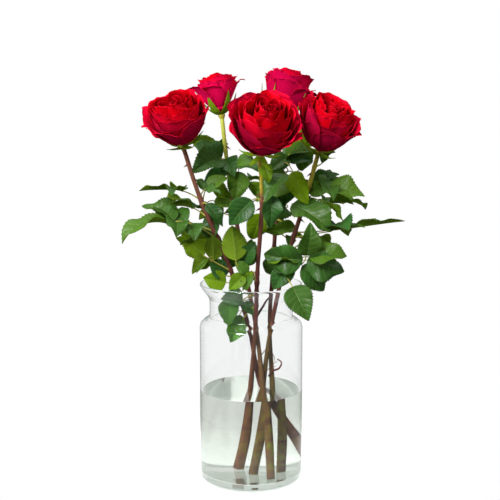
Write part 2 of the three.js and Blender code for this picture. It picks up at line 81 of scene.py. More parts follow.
ROSES = {
    "left_rose": {
        "stem": [(48, 20, 12), (36, 17, 50), (10.5, 9, 120), (-3, 3, 190), (-24, -15, 262),
                 (-59, -34, 350), (-78, -44, 411)],
        "bloom": {
            "lean": 29, "azimuth": 252, "count": 22, "length": 59, "outer": (82, 27, 10), "dip": 0.2,
            "sepals": (90, 60, 50), "calyx": (27, 4.2), "crowd": 0.32, "lobes": 3, "front": 265,
            "pink": 0,
            "guards": [
                (198, 52, (82, 34, 46), 40, 22, 0.22), (150, 55, (80, 30, 26), 45, 25, 0.12),
                (96, 59, (80, 24, 10), 20, 28, 0.02), (30, 56, (82, 28, 14), 20, 27, 0.03),
                (330, 52, (80, 32, 10), 25, 28, 0.03), (282, 45, (74, 34, 12), 30, 28, 0.03),
                (236, 49, (76, 37, 24), 40, 24, 0.05), (63, 48, (86, 34, 32), 50, 23, 0.08),
                (122, 44, (86, 37, 40), 60, 21, 0.1),
            ],
        },
        "fresh": 420, "wood": 0.9, "moss": 0.1,
        "twigs": [
            (0.7, [(5, 6, 139), (10, 2, 150), (15, 0, 158), (18, 0, 162)]),
        ],
        "leaves": [
            sprig(348, (-92, -34, 361), (-130, -38, 360), (0, 0.1, 1), 1, shape=(0.8, 14)),
            sprig(300, (-97, -42, 322), (-148, -60, 301), (-0.1, -0.5, 1), 2, side=38, shape=(0.8, 85)),
            sprig(344, (-52, -42, 345), (-33, -44, 319), (0.4, -1, 0.4), young=0.0, shape=(0.8, 40)),
            sprig(262, (-56, -20, 281), (-90, -5, 300), (0, 1, 0.4), 1, young=0.9),
            sprig(247, (-30, -16, 248), (-57, -17, 254), (0, -1, 0.2), young=1.1, shape=(1.25, 30)),
            sprig(236, (-24, -14, 228), (-27, -20, 196), (0, -1, 0.3), young=0.1),
            sprig(352, (-51, -20, 362), (-27, -15, 373), (0, -0.5, 1), 1),
            sprig(326, (-78, 2, 338), (-104, 34, 338), (0, 0.2, 1), 1),
            sprig(280, (-62, 12, 292), (-88, 44, 284), (0, 0.3, 1), 1),
            sprig(344, (-46, 4, 359), (-25, 5, 345), (0, -0.6, 1), young=1.0),
            sprig(336, (-44, 0, 344), (-19, 0, 337), (0, -0.7, 1), young=0.5),
            sprig(306, (-46, -22, 332), (-44, -18, 296), (-0.2, -1, 0.3), young=0.0, shape=(0.8, 30)),
            sprig(272, (-39, -2, 289), (-58, -4, 300), (0, 0.8, 0.5), young=1.0),
            sprig(264, (-51, -24, 278), (-65, -28, 261), (0, -1, 0.4), young=0.5, shape=(0.4, 20)),
            sprig(256, (-30, -12, 256), (-50, -16, 279), (0.3, -1, 0.3), young=0.0),
            sprig(310, (-84, -20, 325), (-130, -10, 339), (0, -0.7, 1), young=0.25, shape=(0.75, 30)),
        ],
    },
    "back_left_rose": {
        "stem": [(21, -29, 10), (18, -22, 60), (14, -12, 120), (6, 0, 190), (-8, 15, 262), (-27, 36, 370),
                 (-36, 45, 444)],
        "bloom": {
            "lean": 12, "azimuth": 150, "count": 13, "length": 43, "outer": (60, 25, 22), "dip": 0.0,
            "sepals": (72, 30, 14), "calyx": (33, 6.4), "crowd": 0.1, "lobes": 3, "front": 0,
            "pink": 1.15,
            "guards": [
                (185, 45, (62, 32, 34), 60, 24, 0.05), (8, 46, (58, 32, 48), 60, 19, 0.12),
                (95, 44, (54, 22, 24), 30, 24, 0.04), (230, 36, (60, 28, 30), 60, 22, 0.05),
                (285, 39, (60, 22, 14), 40, 28, 0.02),
            ],
        },
        "fresh": 385, "wood": 0.5, "moss": 0.9,
        "leaves": [
            sprig(388, (-38, 20, 392), (-70, -10, 378), (0, -0.9, 0.7), 1),
            sprig(380, (-15, 12, 378), (-20, 0, 343), (0, -1, 0.3)),
            sprig(402, (-55, 78, 408), (-74, 108, 404), (0, 0.4, 1), 1),
            sprig(352, (0, 78, 362), (16, 106, 352), (0, 0.4, 1), 1),
            sprig(318, (-42, 52, 322), (-66, 76, 312), (-0.2, 0.5, 1), 1),
            sprig(212, (-14, 14, 202), (-20, 16, 174), (0, -1, 0.2)),
            sprig(380, (-19, 14, 386), (13, 4, 378), (0, -0.8, 0.8), young=0.1),
            sprig(376, (-22, 20, 380), (-57, 12, 365), (0, -0.8, 0.7), young=0.0, shape=(0.9, 40)),
            sprig(330, (13, 20, 352), (-6, 16, 365), (0, -1, 0.6), young=0.9),
            sprig(282, (-16, 6, 267), (-39, 2, 286), (0, -1, 0.4), young=0.3),
        ],
    },
    "front_rose": {
        "stem": [(-10, 22, 10.4), (-4, 12, 60), (0, 0, 120), (5, -15, 190), (7.5, -30, 262),
                 (12.5, -52, 345), (10.5, -62, 401)],
        "bloom": {
            "lean": 35, "azimuth": 281, "count": 23, "length": 70, "outer": (80, 25, 4), "dip": 0.32,
            "sepals": (108, 90, 60), "calyx": (24, 3.8), "crowd": 0.36, "lobes": 4, "front": 275,
            "pink": 0,
            "guards": [
                (190, 64, (68, 33, 12), 35, 25, 0.04), (122, 70, (80, 25, 8), 20, 28, 0.02),
                (58, 71, (80, 25, 8), 20, 28, 0.02), (352, 60, (68, 33, 14), 20, 24, 0.02),
                (336, 55, (62, 38, 40), 30, 17, 0.08), (302, 47, (46, 44, 8), 20, 30, 0.02),
                (250, 44, (42, 48, 10), 20, 31, 0.02), (90, 56, (84, 31, 28), 45, 25, 0.08),
                (24, 48, (84, 35, 38), 55, 21, 0.1), (155, 50, (84, 34, 32), 50, 21, 0.1),
            ],
        },
        "fresh": 362, "wood": 0.75, "moss": 0.2,
        "twigs": [
            (1.5, [(7, -9, 205), (12, -6, 213), (19, -2, 224), (23, 0, 228)]),
            (0.6, [(6, 0, 146), (11, -4, 146), (13, -6, 151)]),
        ],
        "leaves": [
            sprig(350, (1, -56, 351), (-25, -54, 322), (-0.3, -1, 0.3), young=0.0),
            sprig(258, (-18, -42, 279), (-22, -46, 320), (0, 1, 0.1), young=0.3),
            sprig(250, (-8, -40, 261), (-26, -42, 244), (0, -1, 0.5), 1, young=0.8),
            sprig(384, (3, -50, 396), (-17, -38, 389), (0, -0.8, 0.8)),
            sprig(390, (15, -64, 392), (20, -68, 372), (0.4, -1, 0.2), young=0.9),
            sprig(322, (13, -14, 330), (1, -6, 299), (0.3, -1, 0.3), young=1.2),
            sprig(262, (-10, -10, 268), (1, 4, 297), (0.2, -1, 0.5)),
            sprig(252, (-8, -30, 273), (5, -28, 299), (0.2, -1, 0.4), young=0.0),
            sprig(248, (0, -36, 265), (-10, -38, 242), (0.5, -1, 0.3), young=1.0, shape=(0.6, 30)),
            sprig(238, (-10, -12, 226), (-36, -20, 229), (0.1, -0.9, 0.7), young=0.0, shape=(1.1, 40)),
            sprig(236, (-10, -12, 223), (6, -16, 207), (0, -1, 0.5), young=0.0, shape=(0.9, 40)),
            sprig(222, (-10, -10, 201), (-25, -14, 174), (-0.2, -1, 0.3), young=0.1, shape=(1.0, 40)),
            sprig(348, (23, -62, 357), (21, -62, 319), (0.3, -1, 0.4), young=0.0, shape=(0.85, 35)),
            sprig(366, (39, -52, 380), (16, -72, 350), (-0.3, -1, 0.6), young=0.15, shape=(0.9, 30)),
        ],
    },
    "back_right_rose": {
        "stem": [(27, 3, 9.6), (28, 4, 60), (26, 5, 120), (23, 11, 190), (27, 22, 262), (32, 38, 345),
                 (34, 52, 434)],
        "bloom": {
            "lean": 15, "azimuth": 20, "count": 17, "length": 60, "outer": (62, 15, 14), "dip": 0.0,
            "sepals": (80, 30, 2), "calyx": (56, 4.2), "crowd": 0.2, "lobes": 4, "front": 0, "pink": 0.7,
            "guards": [
                (186, 57, (64, 18, 12), 50, 22, 0.05), (100, 60, (62, 18, 18), 40, 27, 0.04),
                (12, 56, (64, 22, 40), 50, 22, 0.08), (322, 54, (66, 24, 46), 90, 18, 0.12),
                (262, 53, (68, 22, 8), 25, 29, 0.02),
            ],
        },
        "fresh": 345, "wood": 0.3, "moss": 1.0,
        "twigs": [
            (1.3, [(22, 5, 127), (27, 0, 135), (34, -4, 139), (37, -6, 147), (32, -4, 151)]),
            (0.5, [(28, 0, 136), (27, -3, 144), (32, -4, 148)]),
            (0.5, [(25, 8, 156), (28, 3, 153), (29, 0, 147)]),
        ],
        "leaves": [
            sprig(400, (42, 28, 392), (72, 5, 403), (0, -0.6, 0.9), 1),
            sprig(378, (49, -25, 381), (67, -36, 344), (-0.4, -1, 0.4), young=1.2, shape=(0.8, 50)),
            sprig(384, (42, 12, 376), (6, -25, 346), (0, -1, 0.6)),
            sprig(340, (42, 8, 335), (13, -18, 330), (0, -1, 0.5)),
            sprig(404, (72, 88, 408), (92, 116, 400), (0, 0.4, 1), 1),
            sprig(346, (66, 78, 352), (78, 112, 340), (0, 0.4, 1), 1),
            sprig(300, (20, 62, 306), (6, 94, 296), (-0.2, 0.4, 1), 1),
            sprig(398, (58, 18, 398), (61, 15, 430), (0, 1, 0.2), young=1.0),
            sprig(372, (58, 22, 380), (78, 18, 405), (0, -1, 0.5)),
            sprig(284, (18, 12, 272), (34, 4, 248), (0.2, -1, 0.4), young=0.2),
            sprig(392, (44, 10, 396), (22, -6, 380), (-0.2, -0.9, 0.8), young=0.1),
            sprig(388, (45, 8, 393), (74, 0, 392), (0.2, -0.8, 0.8), young=0.0, shape=(0.8, 40)),
            sprig(372, (49, 4, 374), (38, -2, 338), (0, -1, 0.2), young=0.0),
            sprig(318, (54, 10, 311), (14, 2, 306), (0, -0.9, 0.6), young=0.6, shape=(0.6, 30)),
            sprig(306, (52, 14, 291), (42, 10, 302), (0, -1, 0.2), young=0.3, shape=(1.0, 60)),
        ],
    },
    "right_rose": {
        "stem": [(2, -4, 10), (9, -6, 60), (15, -2, 120), (24, -6, 190), (39, -13, 262), (62, -16, 340),
                 (79, -15, 402)],
        "bloom": {
            "lean": 29, "azimuth": 301, "count": 22, "length": 63, "outer": (80, 24, 4), "dip": 0.26,
            "sepals": (96, 66, 48), "calyx": (26, 4.2), "crowd": 0.34, "lobes": 3, "front": 288,
            "pink": 0,
            "guards": [
                (196, 60, (76, 21, -6), 10, 28, 0.01), (140, 64, (80, 22, 4), 30, 26, 0.02),
                (78, 64, (80, 22, 10), 50, 22, 0.03), (14, 58, (80, 26, 20), 35, 24, 0.04),
                (340, 52, (80, 31, 24), 60, 22, 0.07), (296, 46, (72, 34, 8), 20, 30, 0.02),
                (250, 49, (70, 31, 4), 20, 29, 0.02), (108, 53, (84, 30, 28), 50, 23, 0.08),
                (46, 47, (84, 34, 38), 55, 21, 0.1),
            ],
        },
        "fresh": 360, "wood": 0.35, "moss": 0.4,
        "twigs": [
            (0.5, [(17, -2, 134), (24, -6, 141), (30, -8, 143)]),
        ],
        "leaves": [
            sprig(386, (84, -10, 390), (100, -8, 403), (0, -0.7, 1)),
            sprig(362, (91, -18, 361), (133, -26, 352), (0, -0.4, 1), 1, young=0.5),
            sprig(346, (48, -28, 342), (93, -46, 313), (0.2, -1, 0.5), shape=(1.0, 45)),
            sprig(308, (119, -20, 314), (181, -26, 323), (0, 0.16, 1), 1, shape=(0.6, 5)),
            sprig(268, (64, -50, 286), (68, -54, 325), (0, -1, 0.2), 2, side=49, spread=92),
            sprig(254, (48, -56, 250), (66, -76, 214), (0.3, -1, 0.4), young=0.15),
            sprig(330, (112, 26, 338), (142, 48, 328), (0.2, 0.2, 1), 1),
            sprig(286, (78, 22, 292), (98, 52, 282), (0.2, 0.3, 1), 1),
            sprig(276, (68, -48, 284), (111, -50, 285), (0, -1, 0.7), young=0.4),
            sprig(272, (56, -44, 277), (19, -44, 276), (0, -0.6, 1), young=0.7),
            sprig(368, (73, 2, 364), (105, -4, 376), (0, -0.8, 0.8), young=0.0, shape=(0.8, 40)),
            sprig(358, (69, -14, 357), (94, -20, 360), (0, -0.9, 0.7), young=0.4),
            sprig(338, (78, -22, 348), (109, -28, 321), (0.5, -0.3, 1), young=0.8, shape=(0.5, 50)),
            sprig(302, (93, -22, 310), (134, -30, 316), (0, -0.5, 1), young=0.4, shape=(0.55, 30)),
            sprig(262, (47, -32, 273), (26, -36, 243), (0, -1, 0.4), young=0.0, shape=(1.0, 40)),
        ],
    },
}

VASE = {"heel": 7, "shoulder_height": 190, "shoulder": 11, "neck": 50.5, "neck_bottom": 204,
        "neck_top": 227, "hollow": 4, "lip": 62, "lip_below_top": 2.4, "lip_crown": 0.4,
        "floor": 9, "segments": 160, "unevenness": 0.0006}
WATER = {"overlap": 0.12, "climb": 0.15, "climb_width": 1.3}
STEM = {"points": 301, "sides": 18, "middle": 0.9, "foot": 0.7, "joint": 0.16, "joint_reach": 2.6}
THORN = {"length": 6.4, "radius": 1.7, "lowest": 262, "below_top": 15, "count": 3, "droop": 0.25,
         "hook": 0.35, "root": 1.6}
STALK = {"radius": 0.6, "foot": 1.4, "foot_reach": 2.5, "taper": 0.2, "side_radius": 0.5}
LEAFLET = {"half_width": 0.41, "thickness": 0.45, "fold": 21, "wave": 0.075, "arch": (30, 62),
           "twist": (-12, 12), "teeth": 17, "tooth": 0.095, "veins": 7, "swell": 0.014, "rib": 0.012}
PAIRS = {"single": 0.62, "foremost": 0.82, "apart": 0.28, "stagger": 0.02, "length": 0.84,
         "taper": 0.1, "spread": 58, "scatter": 16, "opening": 14, "lift": (-0.25, 0.1)}
SEPAL = {"count": 5, "thickness": 0.6, "start": (3.6, -2.6), "scatter": 16}
HIP = {"height": 9, "neck": 2.5, "swell": 1.2, "mouth": 2.1, "segments": 28}
AXIS = 0.01  # the radius at which a turned profile starts and ends
RECEPTACLE = [(AXIS, 0.3), (3.4, 0.3), (8.6, 3.6), (9.0, 5), (8.4, 6.4), (4, 8), (3.4, 22), (AXIS, 26)]
GOLDEN_ANGLE = 137.5
PETAL = {"half_width": 28, "inner": (8, 2, -20), "start": ((2.4, 4), (4.4, 3.2)), "guard_start": (4.7, 2.9),
         "dip_turn": (-70, 25, 0), "ruffle": 0.042, "scatter": 9}
SEEDS = {"greenery": 11, "leaf_tints": 93007, "blooms": 101, "step": 7}

# ---- the stage, in metres, degrees and watts -------------------------------------------------

REFRACTION = {"glass": 1.38, "water": 1.333}
# A leaf or stem counts as inside the vase below these heights and within these distances of the
# axis, with a soft change from the first number to the second.
INDOORS = {"below": (0.232, 0.24), "within": (0.056, 0.06)}
# What each side of a clear solid lets through of a lamp's light, and the colour of a painted glow,
# an emission that stands in for light that is mirrored to and fro inside.
PASSED_LIGHT = (0.93, 0.94, 0.935)
PAINTED_GLOW = (0.62, 0.68, 0.64)
# Under the vase the floor has a painted pool of light, an emission in place of the light that the
# clear glass collects there, out to the first distances; the floor fades out over the second.
FLOOR = {"reach": 1.6, "colour": (0.66, 0.66, 0.66), "painted_light_pool": 0.16, "painted_pool_reach": (0.058, 0.09),
         "fades": (0.08, 0.3)}
CAMERA = {"place": (-0.00127, -1.3, 0.4845), "pitch": 8.74, "sensor": 36, "lens": 78.55}
LAMPS_AIM = (0, 0, 0.3)
# Each lamp's name, place, size and power, and whether it shows in the glass.
LAMPS = (
    ("key", (-0.8, -1.5, 1.5), 0.7, 60, True),
    ("left", (-1.6, -0.5, 0.8), 0.9, 20, False),
    ("fill", (1.4, -1.0, 0.7), 0.8, 6, False),
    ("back", (0.7, 1.6, 0.9), 1.0, 20, False),
    ("top", (0.0, 0.3, 2.2), 1.6, 26, True),
)

# ---- numbers and vectors -----------------------------------------------------------------------


def lerp(a, b, t):
    """From a at t = 0 straight to b at t = 1."""
    return a + (b - a) * t


def smooth_step(low, high, x):
    """0 below low, 1 above high, with a soft S between them."""
    t = np.clip((x - low) / (high - low), 0, 1)
    return t * t * (3 - 2 * t)


def unit(v):
    """Each vector along the last axis, made one long."""
    return v / np.maximum(np.linalg.norm(v, axis=-1, keepdims=True), 1e-12)


def square_to(v, along):
    """The part of v that is square to the unit vector `along`, made one long."""
    return unit(v - np.sum(v * along, axis=-1, keepdims=True) * along)


def random_stream(seed):
    """A repeatable stream of numbers from 0 to 1."""
    state = seed

    def draw():
        nonlocal state
        state = state * 16807 % 2147483647
        return state / 2147483647

    return draw


def smooth_line(points, count):
    """`count` points on the line through `points`, each stretch a cubic whose end slopes are half
    of the difference between the points on both sides."""
    p = np.array(points, float)
    p = np.vstack([2 * p[0] - p[1], p, 2 * p[-1] - p[-2]])
    place = np.linspace(0, len(points) - 1, count)
    i = np.minimum(place.astype(int), len(points) - 2)
    w = (place - i)[:, None]
    a, b = p[i + 1], p[i + 2]
    from_a, to_b = 0.5 * (b - p[i]), 0.5 * (p[i + 3] - a)
    return a + from_a * w + (3 * (b - a) - 2 * from_a - to_b) * w**2 + (2 * (a - b) + from_a + to_b) * w**3


def at_height(line, height):
    """The line's point that is nearest to that height."""
    return line[np.argmin(np.abs(line[:, 2] - height))]


def turn_from_up(axis):
    """The matrix of the shortest turn that takes straight up to the unit vector `axis`."""
    w = np.cross((0, 0, 1), axis)
    k = np.array([[0, -w[2], w[1]], [w[2], 0, -w[0]], [-w[1], w[0], 0]])
    return np.eye(3) + k + k @ k / (1 + axis[2])


# ---- meshes as whole arrays --------------------------------------------------------------------


def stacked(*numbers):
    """Arrays and numbers side by side, along the last axis of one array."""
    return np.stack(np.broadcast_arrays(*numbers), -1)


def grid_quads(rows, columns, around=False):
    """The quads of a grid, facing the side that (across x along) points to."""
    i, j = np.meshgrid(np.arange(rows - 1), np.arange(columns if around else columns - 1), indexing="ij")
    a, b = i * columns + j, i * columns + (j + 1) % columns
    return stacked(a, b, b + columns, a + columns).reshape(-1, 4)


def grid_normals(points):
    """Unit normals of a grid of points, across x along."""
    return unit(np.cross(np.gradient(points, axis=1), np.gradient(points, axis=0)))


def blade(points, thickness, place, kind):
    """A closed blade. Every point of the grid is pushed out by half the thickness to both sides,
    and both sides meet in one rim. `place` and `kind` are three numbers kept for each point; the
    first number of `kind` becomes 1 on the front, -1 on the back and 0 on the rim."""
    rows, columns, _ = points.shape
    inside = np.zeros((rows, columns), bool)
    inside[1:-1, 1:-1] = True
    push = grid_normals(points) * (np.where(inside, thickness, 0) / 2)[..., None]
    keep = inside.ravel()
    back_ids = np.arange(rows * columns)
    back_ids[keep] = rows * columns + np.arange(keep.sum())
    quads = grid_quads(rows, columns)
    front_kind, back_kind = kind.copy(), kind.copy()
    front_kind[..., 0] = inside
    back_kind[..., 0] = -1
    return {
        "points": np.vstack([(points + push).reshape(-1, 3), (points - push).reshape(-1, 3)[keep]]),
        "quads": np.vstack([quads, back_ids[quads[:, ::-1]]]),
        "place": np.vstack([place.reshape(-1, 3), place.reshape(-1, 3)[keep]]),
        "kind": np.vstack([front_kind.reshape(-1, 3), back_kind.reshape(-1, 3)[keep]]),
    }


def rings(points, place=None, kind=None):
    """A closed skin over a grid whose rows are rings, with one more point in the middle of the
    first and the last ring."""
    rows, columns, _ = points.shape
    ends = points[[0, -1]].mean(axis=1)
    first, last = rows * columns, rows * columns + 1
    around = np.arange(columns)
    onwards = (around + 1) % columns
    upper = (rows - 1) * columns
    start = stacked(first, onwards, around)
    stop = stacked(upper + around, upper + onwards, last)
    place = np.zeros((rows, columns, 3)) if place is None else place
    kind = np.zeros((rows, columns, 3)) if kind is None else kind
    return {
        "points": np.vstack([points.reshape(-1, 3), ends]),
        "quads": grid_quads(rows, columns, around=True),
        "triangles": np.vstack([start, stop]),
        "place": np.vstack([place.reshape(-1, 3), place[[0, -1], 0]]),
        "kind": np.vstack([kind.reshape(-1, 3), kind[[0, -1], 0]]),
    }


def tube(line, radii, sides, tint=0.0, kind=(0, 0, 0), share=(0, 1), reference=(0, 1, 0), ripple=None):
    """A round bar along a line of points: each ring stands square to the line, at its own radius,
    which `ripple` may change round the ring. `place` runs along the bar, round it and its tint."""
    along = unit(np.gradient(line, axis=0))
    right = square_to(np.array(reference, float), along)
    up = np.cross(along, right)
    angle = np.arange(sides) * 2 * np.pi / sides
    radii = np.broadcast_to(np.asarray(radii, float), len(line))[:, None]
    if ripple is not None:
        radii = radii * ripple
    ring = np.cos(angle)[None, :, None] * right[:, None] + np.sin(angle)[None, :, None] * up[:, None]
    points = line[:, None] + np.asarray(radii)[..., None] * ring
    place = stacked(np.linspace(*share, len(line))[:, None], np.cos(angle), tint)
    kinds = np.broadcast_to(np.array(kind, float), points.shape)
    return rings(points, place, kinds)


def turned(profile, segments, ripple=0.0):
    """A skin of revolution about +Z under a profile of (radius, height) from the axis to the axis,
    given from the bottom outwards and up."""
    r, z = np.array(profile, float).T
    angle = np.arange(segments) * 2 * np.pi / segments
    wave = 1 + ripple * (np.sin(3 * angle + 1) + 0.6 * np.sin(7 * angle + 2 + z[:, None] / 30))
    r, z = r[:, None], z[:, None]
    return rings(stacked(r * np.cos(angle) * wave, r * np.sin(angle) * wave, z))


def moved(part, matrix, offset):
    """A part turned by the matrix and then moved by the offset."""
    return {**part, "points": part["points"] @ matrix.T + offset}


def joined(parts):
    """Several parts as one set of arrays."""
    starts = np.cumsum([0] + [len(p["points"]) for p in parts[:-1]])
    none = {"quads": np.zeros((0, 4), int), "triangles": np.zeros((0, 3), int)}
    whole = {key: np.vstack([p[key] for p in parts]) for key in ("points", "place", "kind")}
    for key, empty in none.items():
        whole[key] = np.vstack([p.get(key, empty) + start for p, start in zip(parts, starts)])
    return whole


def piece(name, part, material, slot, *nodes):
    """A mesh object in metres from arrays in millimetres, on its body and in place of its nodes."""
    quads, triangles = part["quads"], part.get("triangles", np.zeros((0, 3), int))
    mesh = bpy.data.meshes.new(name)
    mesh.vertices.add(len(part["points"]))
    mesh.vertices.foreach_set("co", (part["points"] * MM).astype(np.float32).ravel())
    corners = np.concatenate([quads.ravel(), triangles.ravel()]).astype(np.int32)
    sizes = np.concatenate([np.full(len(quads), 4), np.full(len(triangles), 3)]).astype(np.int32)
    mesh.loops.add(len(corners))
    mesh.loops.foreach_set("vertex_index", corners)
    mesh.polygons.add(len(sizes))
    mesh.polygons.foreach_set("loop_start", np.concatenate([[0], np.cumsum(sizes)[:-1]]).astype(np.int32))
    mesh.polygons.foreach_set("loop_total", sizes)
    mesh.polygons.foreach_set("use_smooth", np.ones(len(sizes), bool))
    for key in ("place", "kind"):
        layer = mesh.attributes.new(key, "FLOAT_VECTOR", "POINT")
        layer.data.foreach_set("vector", part[key].astype(np.float32).ravel())
    mesh.update(calc_edges=True)
    if mesh.validate():
        raise RuntimeError(f"the mesh of {name} isn't valid")
    mesh.materials.append(material)
    obj = bpy.data.objects.new(name, mesh)
    bpy.context.collection.objects.link(obj)
    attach(obj, "root")
    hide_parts(*nodes)
    return obj


# ---- shader maths ------------------------------------------------------------------------------


def math_node(operation, reflected=False):
    """A method of Number that adds one Math node. A reflected one has the number last, as 1 - x."""

    def method(self, *others):
        operands = (*others, self) if reflected else (self, *others)
        node = self.finish.add("ShaderNodeMath", {"operation": operation}, dict(enumerate(operands)))
        return Number(self.finish, node.outputs[0])

    return method


class Number:
    """A number socket. Expressions on it add Math nodes to its tree."""

    def __init__(self, finish, socket):
        self.finish = finish
        self.socket = socket

    __add__ = math_node("ADD")
    __radd__ = math_node("ADD", reflected=True)
    __sub__ = math_node("SUBTRACT")
    __rsub__ = math_node("SUBTRACT", reflected=True)
    __mul__ = math_node("MULTIPLY")
    __rmul__ = math_node("MULTIPLY", reflected=True)
    __pow__ = math_node("POWER")
    __abs__ = math_node("ABSOLUTE")
    fraction = math_node("FRACT")
    least = math_node("MINIMUM")
    most = math_node("MAXIMUM")

    def between(self, low, high):
        """0 where it is low or less and 1 where it is high or more, soft between."""
        settings = {"interpolation_type": "SMOOTHSTEP"}
        node = self.finish.add("ShaderNodeMapRange", settings, {0: self, 1: low, 2: high})
        return Number(self.finish, node.outputs[0])


class Finish:
    """One material's node tree, or the world's, built by calls."""

    def __init__(self, name, kind="materials"):
        self.owner = getattr(bpy.data, kind).new(name)
        self.owner.use_nodes = True
        self.tree = self.owner.node_tree
        self.tree.nodes.clear()

    def add(self, kind, settings=None, values=None):
        """A node of that type. Settings are its properties, and `stops` those of a colour ramp;
        values are its input sockets by name or number, as constants or links."""
        node = self.tree.nodes.new(kind)
        for key, value in (settings or {}).items():
            if key == "stops":
                self._stops(node.color_ramp, value)
            else:
                setattr(node, key, value)
        for key, value in (values or {}).items():
            source = value.socket if isinstance(value, Number) else value
            if isinstance(source, bpy.types.NodeSocket):
                self.tree.links.new(source, node.inputs[key])
            else:
                node.inputs[key].default_value = source
        return node

    def _stops(self, ramp, stops):
        """Gives the ramp its stops, as (place, colour)."""
        while len(ramp.elements) < len(stops):
            ramp.elements.new(1)
        for element, (position, colour) in zip(ramp.elements, stops):
            element.position = position
            element.color = (*colour, 1)

    def split(self, vector):
        """A vector's three numbers."""
        outputs = self.add("ShaderNodeSeparateXYZ", None, {0: vector}).outputs
        return [Number(self, socket) for socket in outputs]

    def kept(self, name):
        """The three numbers that a piece keeps under that name."""
        return self.split(self.add("ShaderNodeAttribute", {"attribute_name": name}).outputs["Vector"])

    def vector(self, x, y, z):
        """Three numbers as a vector."""
        return self.add("ShaderNodeCombineXYZ", None, {0: x, 1: y, 2: z}).outputs[0]

    def position(self, kind="Object"):
        """The place on a piece, or in the world the way that a ray goes."""
        return self.add("ShaderNodeTexCoord").outputs[kind]

    def ray(self, name):
        """What the renderer knows of the ray under that name."""
        return Number(self, self.add("ShaderNodeLightPath").outputs[name])

    def noise(self, scale, detail=2.0, where=None, roughness=0.5):
        """Soft noise from 0 to 1, by default in the piece's own place."""
        values = {"Vector": where or self.position(), "Scale": scale, "Detail": detail,
                  "Roughness": roughness}
        return Number(self, self.add("ShaderNodeTexNoise", None, values).outputs["Fac"])

    def ramp(self, value, *stops):
        """The colours of the stops, by value."""
        return self.add("ShaderNodeValToRGB", {"stops": stops}, {0: value}).outputs[0]

    def mixed(self, share, a, b):
        """Two colours mixed, each a socket or (r, g, b)."""
        a, b = [c if isinstance(c, bpy.types.NodeSocket) else (*c, 1) for c in (a, b)]
        return self.add("ShaderNodeMix", {"data_type": "RGBA"}, {0: share, 6: a, 7: b}).outputs[2]

    def bump(self, height, strength, distance):
        """The surface's normal where a height stands on it."""
        values = {"Height": height, "Strength": strength, "Distance": distance}
        return self.add("ShaderNodeBump", None, values).outputs[0]

    def surface(self, **values):
        """A Principled surface; words are its socket names with _ for a space."""
        named = {key.replace("_", " "): value for key, value in values.items()}
        return self.add("ShaderNodeBsdfPrincipled", None, named).outputs[0]

    def glow(self, colour, normal=None):
        """Light that shows through a thin piece."""
        values = {"Color": (*colour, 1), **({} if normal is None else {"Normal": normal})}
        return self.add("ShaderNodeBsdfTranslucent", None, values).outputs[0]

    def blended(self, share, a, b):
        """Two surfaces mixed: a where share is 0, b where it is 1."""
        return self.add("ShaderNodeMixShader", None, {0: share, 1: a, 2: b}).outputs[0]

    def done(self, surface, output="ShaderNodeOutputMaterial"):
        """The finished material or world."""
        self.add(output, None, {"Surface": surface})
        return self.owner


def scaled(colour, share):
    """A colour made darker or brighter."""
    return tuple(c * share for c in colour)


def mean(a, b, share=0.5):
    """A colour between two."""
    return tuple(lerp(x, y, share) for x, y in zip(a, b))


def outdoors(f):
    """1 outside the vase and 0 in it, where nothing shines."""
    x, y, z = f.split(f.position())
    away = (x * x + y * y) ** 0.5
    return (z.between(*INDOORS["below"]) + away.between(*INDOORS["within"])).least(1)


def petal_finish(colours, name, outside):
    """Velvet petals: scarlet inside and crimson on the backs of the outer ones, with painted shade that
    darkens the heart and the foot of each petal, fine veins along them, and a lip with a painted
    highlight that makes it paler here and near-black patches there; light shows through them."""
    f = Finish(name)
    along, across, tint = f.kept("place")
    side, share, lip = f.kept("kind")
    inside = colours.petal_inside
    grain = f.noise(3.0, 3.0, f.vector(along * 0.9, across * 9, tint * 40))
    veins = f.noise(2.2, 2.0, f.vector(along * 1.2, across * 26, tint * 60))
    blotch = f.noise(55.0, 2.0)
    # painted shade: the inner side of each petal darkens towards its foot, deep in the bloom
    front = f.ramp(along, (0.0, scaled(inside, 0.08)), (0.6, scaled(inside, 0.5)), (1.0, inside))
    front = f.mixed(share.between(0.6, 1.0), front, colours.petal_guard)
    back = f.mixed(share.between(0.45, 1.0), scaled(inside, 0.8), outside)
    colour = f.mixed(side.between(-0.4, 0.4), front, back)
    # painted shade: the inner petals darken towards the heart, where shade falls between them
    colour = f.mixed((1 - share.between(0.0, 0.75)) * 0.85, colour, scaled(inside, 0.33))
    colour = f.mixed((grain - 0.35).between(0.0, 0.5) * 0.35, colour, scaled(inside, 0.35))
    colour = f.mixed(blotch.between(0.5, 0.8) * 0.25, colour, scaled(outside, 0.5))
    colour = f.mixed(tint * share * 0.25, colour, scaled(outside, 0.6))
    # where the lips of the outer petals turn near-black, in patches
    dark_patches = f.noise(130.0, 2.0).between(0.45, 0.62)
    # painted highlight: the lip is made paler where light would catch its rounded edge
    colour = f.mixed(lip * 0.55 * (1 - dark_patches), colour, colours.petal_edge_highlight)
    colour = f.mixed(lip * dark_patches * share * 0.8, colour, colours.petal_lip)
    relief = f.bump(veins * 0.6 + f.noise(900.0, 2.0) * 0.4, 0.35, 0.0006)
    solid = f.surface(Base_Color=colour, Roughness=0.55, Normal=relief, Sheen_Weight=0.03,
                      Sheen_Roughness=0.4, Sheen_Tint=(1.0, 0.1, 0.2, 1), Specular_IOR_Level=0.0)
    return f.done(f.blended(0.14, solid, f.glow(mean(inside, outside), relief)))


